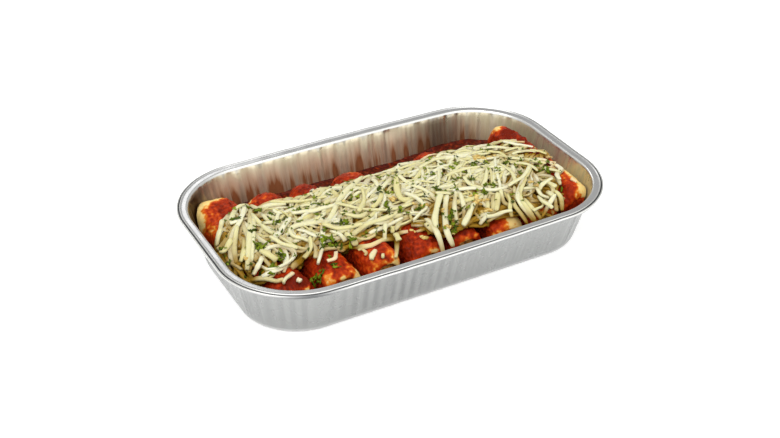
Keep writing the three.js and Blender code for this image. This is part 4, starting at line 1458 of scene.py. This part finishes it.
def pale_floor(stage):
    """Matt white studio paper lit from below: pale, with no gloss, a barely uneven tone and a faint
    glow that lightens shadows."""
    finish, tree, place = new_finish("Matt studio paper")
    darker = [0.985 * share for share in stage.floor]
    set_surface(tree, {
        "Base Color": ramp(tree, noise(tree, place, 60, 2), (0.3, darker), (0.7, stage.floor)),
        "Roughness": 0.9, "Specular IOR Level": 0.1,
        "Emission Color": (1, 1, 1, 1), "Emission Strength": stage.floor_glow,
    })
    return finish


def add_floor(stage):
    half = stage.floor_size / 2
    mesh = bpy.data.meshes.new("floor")
    corners = [(-half, -half, 0), (half, -half, 0), (half, half, 0), (-half, half, 0)]
    mesh.from_pydata(corners, [], [(0, 1, 2, 3)])
    mesh.materials.append(pale_floor(stage))
    floor = bpy.data.objects.new("floor", mesh)
    bpy.context.scene.collection.objects.link(floor)


def add_soft_light(name, place, size, power):
    """A square soft box at a place, facing the tray."""
    lamp = bpy.data.lights.new(name, "AREA")
    lamp.shape, lamp.size, lamp.energy = "SQUARE", size, power
    light = bpy.data.objects.new(name, lamp)
    light.location = place
    light.rotation_euler = (-Vector(place)).to_track_quat("-Z", "Y").to_euler()
    bpy.context.scene.collection.objects.link(light)


def add_camera(stage):
    """The camera stands back from its target along its azimuth and elevation."""
    azimuth, elevation = stage.azimuth, stage.elevation
    level = math.cos(elevation)
    back = Vector((math.sin(azimuth) * level, -math.cos(azimuth) * level, math.sin(elevation)))
    lens = bpy.data.cameras.new("camera")
    lens.sensor_fit, lens.sensor_width, lens.lens = "HORIZONTAL", 36, stage.lens
    lens.clip_start, lens.clip_end = 0.01, 100
    camera = bpy.data.objects.new("camera", lens)
    camera.location = Vector(stage.target) + back * stage.distance
    camera.rotation_euler = (-back).to_track_quat("-Z", "Y").to_euler()
    bpy.context.scene.collection.objects.link(camera)
    bpy.context.scene.camera = camera


def set_surroundings(stage):
    """A pale room that is brightest up and to the front, and dims towards the back, and plain colour
    handling."""
    scene = bpy.context.scene
    scene.view_settings.view_transform = "Standard"
    scene.view_settings.look = "None"
    world = bpy.data.worlds.new("pale room")
    world.use_nodes = True
    world.node_tree.nodes.clear()
    tree = world.node_tree
    heading = add_node(tree, "TexCoord", output="Generated")
    toward = add_node(tree, "VectorMath", {
        "Vector": heading, "Vector_001": BRIGHT_SIDE,
    }, "Value", operation="DOT_PRODUCT")
    share = maths(tree, "MULTIPLY_ADD", toward, 0.5, 0.5)
    room = ramp(tree, share, (0.2, stage.dim_room), (0.55, stage.middle_room), (0.85, stage.room))
    sky = add_node(tree, "Background", {"Color": room, "Strength": stage.room_light})
    add_node(tree, "OutputWorld", {"Surface": sky})
    scene.world = world


# ----------------------------------------------------------------------------------------------------
# Settings


def colour_setting(name, colour, description):
    return FloatVectorProperty(
        name=name, description=description, default=linear(colour), subtype="COLOR", size=3, min=0, max=1)


def length_setting(name, size, description):
    """A length whose default is given in millimetres."""
    return FloatProperty(
        name=name, description=description, default=size * MM, unit="LENGTH", precision=5)


def angle_setting(name, degrees, description):
    return FloatProperty(
        name=name, description=description, default=math.radians(degrees), unit="ROTATION")


def seed_setting(seed, description):
    return IntProperty(name="Seed", description=description, default=seed)


class TraySettings(bpy.types.PropertyGroup):
    """The foil tray's finish."""

    seed: seed_setting(3, "Chooses the creases")
    crease_depth: length_setting("Crease depth", 0.08, "How far the fine upright creases move the wall")
    pleat_depth: length_setting("Pleat depth", 0.16, "How far the pleats move the wall")
    wave_depth: length_setting("Wave depth", 0.35, "How far the broad waves move the back wall")
    flange_wave: length_setting("Flange wave", 0.05, "How far the flange is out of flat")
    roughness: FloatProperty(
        name="Roughness", description="How satin the foil is", default=0.27, min=0.1, max=1)
    foil: colour_setting("Foil", "#bababa", "Bare foil")
    # Painted highlight on the bead's top, the mouth's edge and the raised line.
    painted_highlight_foil: colour_setting("Bent foil", "#dcdcd8", "Foil rubbed bright over its bends")
    drawn_foil: colour_setting("Drawn foil", "#9c9d9c", "Foil dulled where it was drawn into walls")
    # Painted shade: the colour of the rim's groove, the bead's side and the pleats' hollows.
    painted_shade_foil: colour_setting("Dull foil", "#6a6b6c", "Foil in the rim's groove")
    # Grease, film and stain colours inside the tray: partly a painted reflection of the red food.
    grease_and_reflection_foil: colour_setting("Greased foil", "#ddd4bb", "Foil inside the tray under a greasy film")
    # Browned sauce, with the red rolls' reflection painted in.
    browned_and_reflection_foil: colour_setting("Browned foil", "#40280f", "Foil where the sauce browned on it")
    oiled_foil: colour_setting("Oiled foil", "#a8a283", "Foil where oil has dried dull on it")
    # Partly a painted reflection of the red food, browner towards the bottom.
    film_and_reflection_foil: colour_setting("Filmed foil", "#bfa286", "Foil inside the tray near the sauce")
    stain_and_reflection_foil: colour_setting("Stained foil", "#86502c", "Foil that sauce has run down")


class RollSettings(bpy.types.PropertyGroup):
    """The tortilla rolls and their filling."""

    seed: seed_setting(11, "Chooses the lumps and coats")
    coat_lumps: length_setting("Coat lumps", 0.32, "How far the sauce's lumps stand out")
    tortilla: colour_setting("Tortilla", "#dec07a", "Bare tortilla")
    film: colour_setting("Film", "#cf7a24", "A film of oily sauce")
    thin_sauce: colour_setting("Thin sauce", "#b84510", "Sauce laid thin")
    sauce: colour_setting("Sauce", "#9a2b0a", "Sauce laid even")
    thick_sauce: colour_setting("Thick sauce", "#661603", "Sauce laid thick")
    filling: colour_setting("Filling", "#c0883a", "Shreds of filling")
    dark_filling: colour_setting("Dark filling", "#6a4a1c", "Gaps in the filling")


class SauceSettings(bpy.types.PropertyGroup):
    """The sauce pool."""

    seed: seed_setting(5, "Chooses the lumps")
    swell: length_setting("Swell", 0.4, "How far the surface rises and falls")
    deep: colour_setting("Deep sauce", "#2c0902", "Sauce between the lumps")
    body: colour_setting("Sauce", "#521507", "The sauce itself")
    oil: colour_setting("Oil", "#84300e", "Oil on the surface")


class CheeseSettings(bpy.types.PropertyGroup):
    """The grated cheese."""

    seed: seed_setting(7, "Chooses the strands")
    strands: IntProperty(name="Strands", description="How many strands are tried", default=930, min=1)
    strand_length: length_setting("Strand length", 52, "The typical length of a strand")
    loose_depth: length_setting("Loose depth", 9, "How deep the loose strands lie over the packed cheese")
    crown_gap: length_setting("Crown gap", 1.6, "How far the strands stay under the heap's shape")
    sag: FloatProperty(
        name="Sag", description="How limp a strand is, per millimetre", default=0.03, min=0)
    pale: colour_setting("Pale", "#cfccb0", "The palest strands")
    cream: colour_setting("Cream", "#c8c49b", "Most strands")
    yellow: colour_setting("Yellow", "#c0b880", "The yellowest strands")
    stained: colour_setting("Stained", "#dfa07a", "Cheese stained by sauce")
    # Painted shade: the darkening of strands deep in the heap, and the core's colour.
    painted_shade_cheese: colour_setting("Packed", "#886408", "Softened cheese inside the heap")
    # Sauce soak and painted shade: the core's darker spots.
    soaked_and_painted_shade: colour_setting("Soaked", "#3a2c02", "Packed cheese soaked with sauce")


class CrumbSettings(bpy.types.PropertyGroup):
    """The browned crumbs."""

    seed: seed_setting(17, "Chooses the crumbs")
    golden: colour_setting("Golden", "#c8b26e", "Most of a crumb")
    tan: colour_setting("Tan", "#a4803a", "Its browned spots")


class HerbSettings(bpy.types.PropertyGroup):
    """The chopped parsley."""

    seed: seed_setting(13, "Chooses the flakes")
    flakes: IntProperty(name="Flakes", description="How many flakes are scattered", default=330, min=1)
    flake_size: length_setting("Flake size", 2.0, "The typical reach of a flake from its middle")
    dark: colour_setting("Dark leaf", "#2e3800", "Leaf in its folds")
    leaf: colour_setting("Leaf", "#586802", "Most of the leaf")
    pale: colour_setting("Pale leaf", "#7e8a1c", "Its underside")


class StageSettings(bpy.types.PropertyGroup):
    """The floor, light and camera."""

    floor: colour_setting("Floor", "#f7f7f6", "The floor's colour")
    floor_glow: FloatProperty(
        name="Floor glow", description="The strength of the floor's own light", default=0.3)
    floor_size: FloatProperty(
        name="Floor size", description="The floor's width", default=24, unit="LENGTH")
    room: colour_setting("Room", "#fdfdfd", "The room's colour up and to the front")
    middle_room: colour_setting("Middle room", "#b6b6b5", "The room's colour at the sides")
    dim_room: colour_setting("Dim room", "#a4a4a3", "The room's colour at the back")
    room_light: FloatProperty(
        name="Room light", description="The strength of the room's light", default=1.8)
    azimuth: angle_setting("Azimuth", -28.706, "The camera's turn about the tray")
    elevation: angle_setting("Elevation", 32.804, "The camera's height angle")
    distance: FloatProperty(name="Distance", description="From the target", default=0.9792, unit="LENGTH")
    lens: FloatProperty(
        name="Lens", description="Focal length in millimetres", default=57.63, unit="CAMERA")
    target: FloatVectorProperty(
        name="Target", description="What the camera looks at", default=(-0.00481, -0.0038, 0.02398),
        unit="LENGTH")


class MealSettings(bpy.types.PropertyGroup):
    """Everything that can be changed on the tray meal."""

    tray: PointerProperty(name="Tray", description="The foil tray", type=TraySettings)
    rolls: PointerProperty(name="Rolls", description="The tortilla rolls", type=RollSettings)
    sauce: PointerProperty(name="Sauce", description="The sauce pool", type=SauceSettings)
    cheese: PointerProperty(name="Cheese", description="The grated cheese", type=CheeseSettings)
    crumbs: PointerProperty(name="Crumbs", description="The browned crumbs", type=CrumbSettings)
    herbs: PointerProperty(name="Herbs", description="The chopped parsley", type=HerbSettings)
    stage: PointerProperty(name="Stage", description="Floor, light and camera", type=StageSettings)


# ----------------------------------------------------------------------------------------------------
# Operators and panel


class MEAL_OT_tray(bpy.types.Operator):
    """Make the foil tray"""

    bl_idname = "meal.tray"
    bl_label = "Foil tray"

    def execute(self, context):
        tray = context.scene.tray_meal.tray
        add_piece(
            "foil_tray", tray_surface(tray), drawn_foil(tray), ["tray"],
            ["inside", "browned_and_reflection", "oiled", "wall", "groove", "bend", "round_x", "round_y"])
        return {"FINISHED"}


class MEAL_OT_rolls(bpy.types.Operator):
    """Make the eight tortilla rolls and their filling"""

    bl_idname = "meal.rolls"
    bl_label = "Tortilla rolls"

    def execute(self, context):
        rolls = context.scene.tray_meal.rolls
        wrap, plug = sauced_tortilla(rolls), shredded_filling(rolls)
        for number, roll in enumerate(ROLLS, start=1):
            outside = wrap_surface(number, roll, rolls)
            add_piece(f"wrap_{number}", outside, wrap, [f"tortilla_{number}"], ["coat"])
            inside = filling_surface(number, roll, rolls)
            add_piece(f"plug_{number}", inside, plug, [f"filling_{number}"])
        add_piece("sauce_cap", cap_surface(ROLLS[-1], rolls), wrap, fields=["coat"])
        return {"FINISHED"}


class MEAL_OT_sauce(bpy.types.Operator):
    """Make the sauce pool"""

    bl_idname = "meal.sauce"
    bl_label = "Sauce pool"

    def execute(self, context):
        sauce = context.scene.tray_meal.sauce
        add_piece("sauce_pool", sauce_surface(sauce), chilli_sauce(sauce), ["sauce"])
        return {"FINISHED"}


class MEAL_OT_cheese(bpy.types.Operator):
    """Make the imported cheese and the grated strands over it"""

    bl_idname = "meal.cheese"
    bl_label = "Grated cheese"

    def execute(self, context):
        cheese = context.scene.tray_meal.cheese
        rng = np.random.default_rng(cheese.seed)
        finish = grated_cheese(cheese)
        core = core_surface(cheese)
        # The core is painted dark as the shade between the strands over it.
        add_piece("dark_painted_core", core, dark_painted_core(cheese), ["cheese_heap"])
        strands = strand_surface(*lay_heap(cheese, rng), rng)
        add_piece("cheese_strands", strands, finish, fields=["tone", "stain", "depth"])
        return {"FINISHED"}


class MEAL_OT_crumbs(bpy.types.Operator):
    """Drop the browned crumbs on the cheese and the rolls"""

    bl_idname = "meal.crumbs"
    bl_label = "Browned crumbs"

    def execute(self, context):
        crumbs = context.scene.tray_meal.crumbs
        rng = np.random.default_rng(crumbs.seed)
        spots = np.repeat(np.array(CRUMBS), CRUMBS_IN_SPOT, axis=0)
        middles = spots[:, :2] + rng.normal(0, CRUMB_SPREAD, (len(spots), 2)) * spots[:, 2:]
        sizes = spots[:, 2] * rng.uniform(*CRUMB_SIZES, len(spots))
        places, _ = resting_planes(food_top(), middles, REST_REACH * sizes)
        add_piece("browned_crumbs", crumb_surface(places, sizes, rng), browned_cheese(crumbs))
        return {"FINISHED"}


class MEAL_OT_herbs(bpy.types.Operator):
    """Scatter the chopped parsley over the cheese"""

    bl_idname = "meal.herbs"
    bl_label = "Chopped parsley"

    def execute(self, context):
        herbs = context.scene.tray_meal.herbs
        rng = np.random.default_rng(herbs.seed)
        spots = np.argwhere(heap_map(0) > 0)
        chosen = spots[rng.integers(len(spots), size=herbs.flakes)][:, ::-1] - np.array(MAP_HALF) + 0.5
        scattered = herbs.flake_size / MM * rng.lognormal(*FLAKE_SIZES, herbs.flakes)
        crowd = np.repeat(np.array(LEAVES), FLAKES_IN_LEAF, axis=0)
        strewn = crowd[:, :2] + rng.normal(0, LEAF_SPREAD, (len(crowd), 2)) * crowd[:, 2:]
        sizes = np.concatenate([scattered, crowd[:, 2] * rng.uniform(*LEAF_SIZES, len(crowd))])
        middles = np.concatenate([chosen, strewn])
        places, normals = resting_planes(food_top(), middles, REST_REACH * sizes)
        flakes = flake_surface(places, normals, sizes, rng)
        add_piece("parsley_flakes", flakes, parsley_leaf(herbs), fields=["tone"])
        return {"FINISHED"}


class MEAL_OT_stage(bpy.types.Operator):
    """Set the floor, the lights and the camera"""

    bl_idname = "meal.stage"
    bl_label = "Stage"

    def execute(self, context):
        stage = context.scene.tray_meal.stage
        set_surroundings(stage)
        add_floor(stage)
        for light in SOFT_LIGHTS:
            add_soft_light(*light)
        add_camera(stage)
        return {"FINISHED"}


STEPS = (
    MEAL_OT_tray, MEAL_OT_rolls, MEAL_OT_sauce, MEAL_OT_cheese, MEAL_OT_crumbs, MEAL_OT_herbs,
    MEAL_OT_stage,
)


class MEAL_PT_panel(bpy.types.Panel):
    """Lists the pieces of the tray meal"""

    bl_idname = "MEAL_PT_panel"
    bl_label = "Tray meal"
    bl_space_type = "VIEW_3D"
    bl_region_type = "UI"
    bl_category = "Tray meal"

    def draw(self, context):
        for step in STEPS:
            self.layout.operator(step.bl_idname)


CLASSES = (
    TraySettings, RollSettings, SauceSettings, CheeseSettings, CrumbSettings, HerbSettings, StageSettings,
    MealSettings, *STEPS, MEAL_PT_panel,
)


def register():
    for item in CLASSES:
        bpy.utils.register_class(item)
    bpy.types.Scene.tray_meal = PointerProperty(type=MealSettings)


def unregister():
    del bpy.types.Scene.tray_meal
    for item in reversed(CLASSES):
        bpy.utils.unregister_class(item)


def main():
    register()
    for step in STEPS:
        group, name = step.bl_idname.split(".")
        getattr(getattr(bpy.ops, group), name)()


if __name__ == "__main__":
    main()
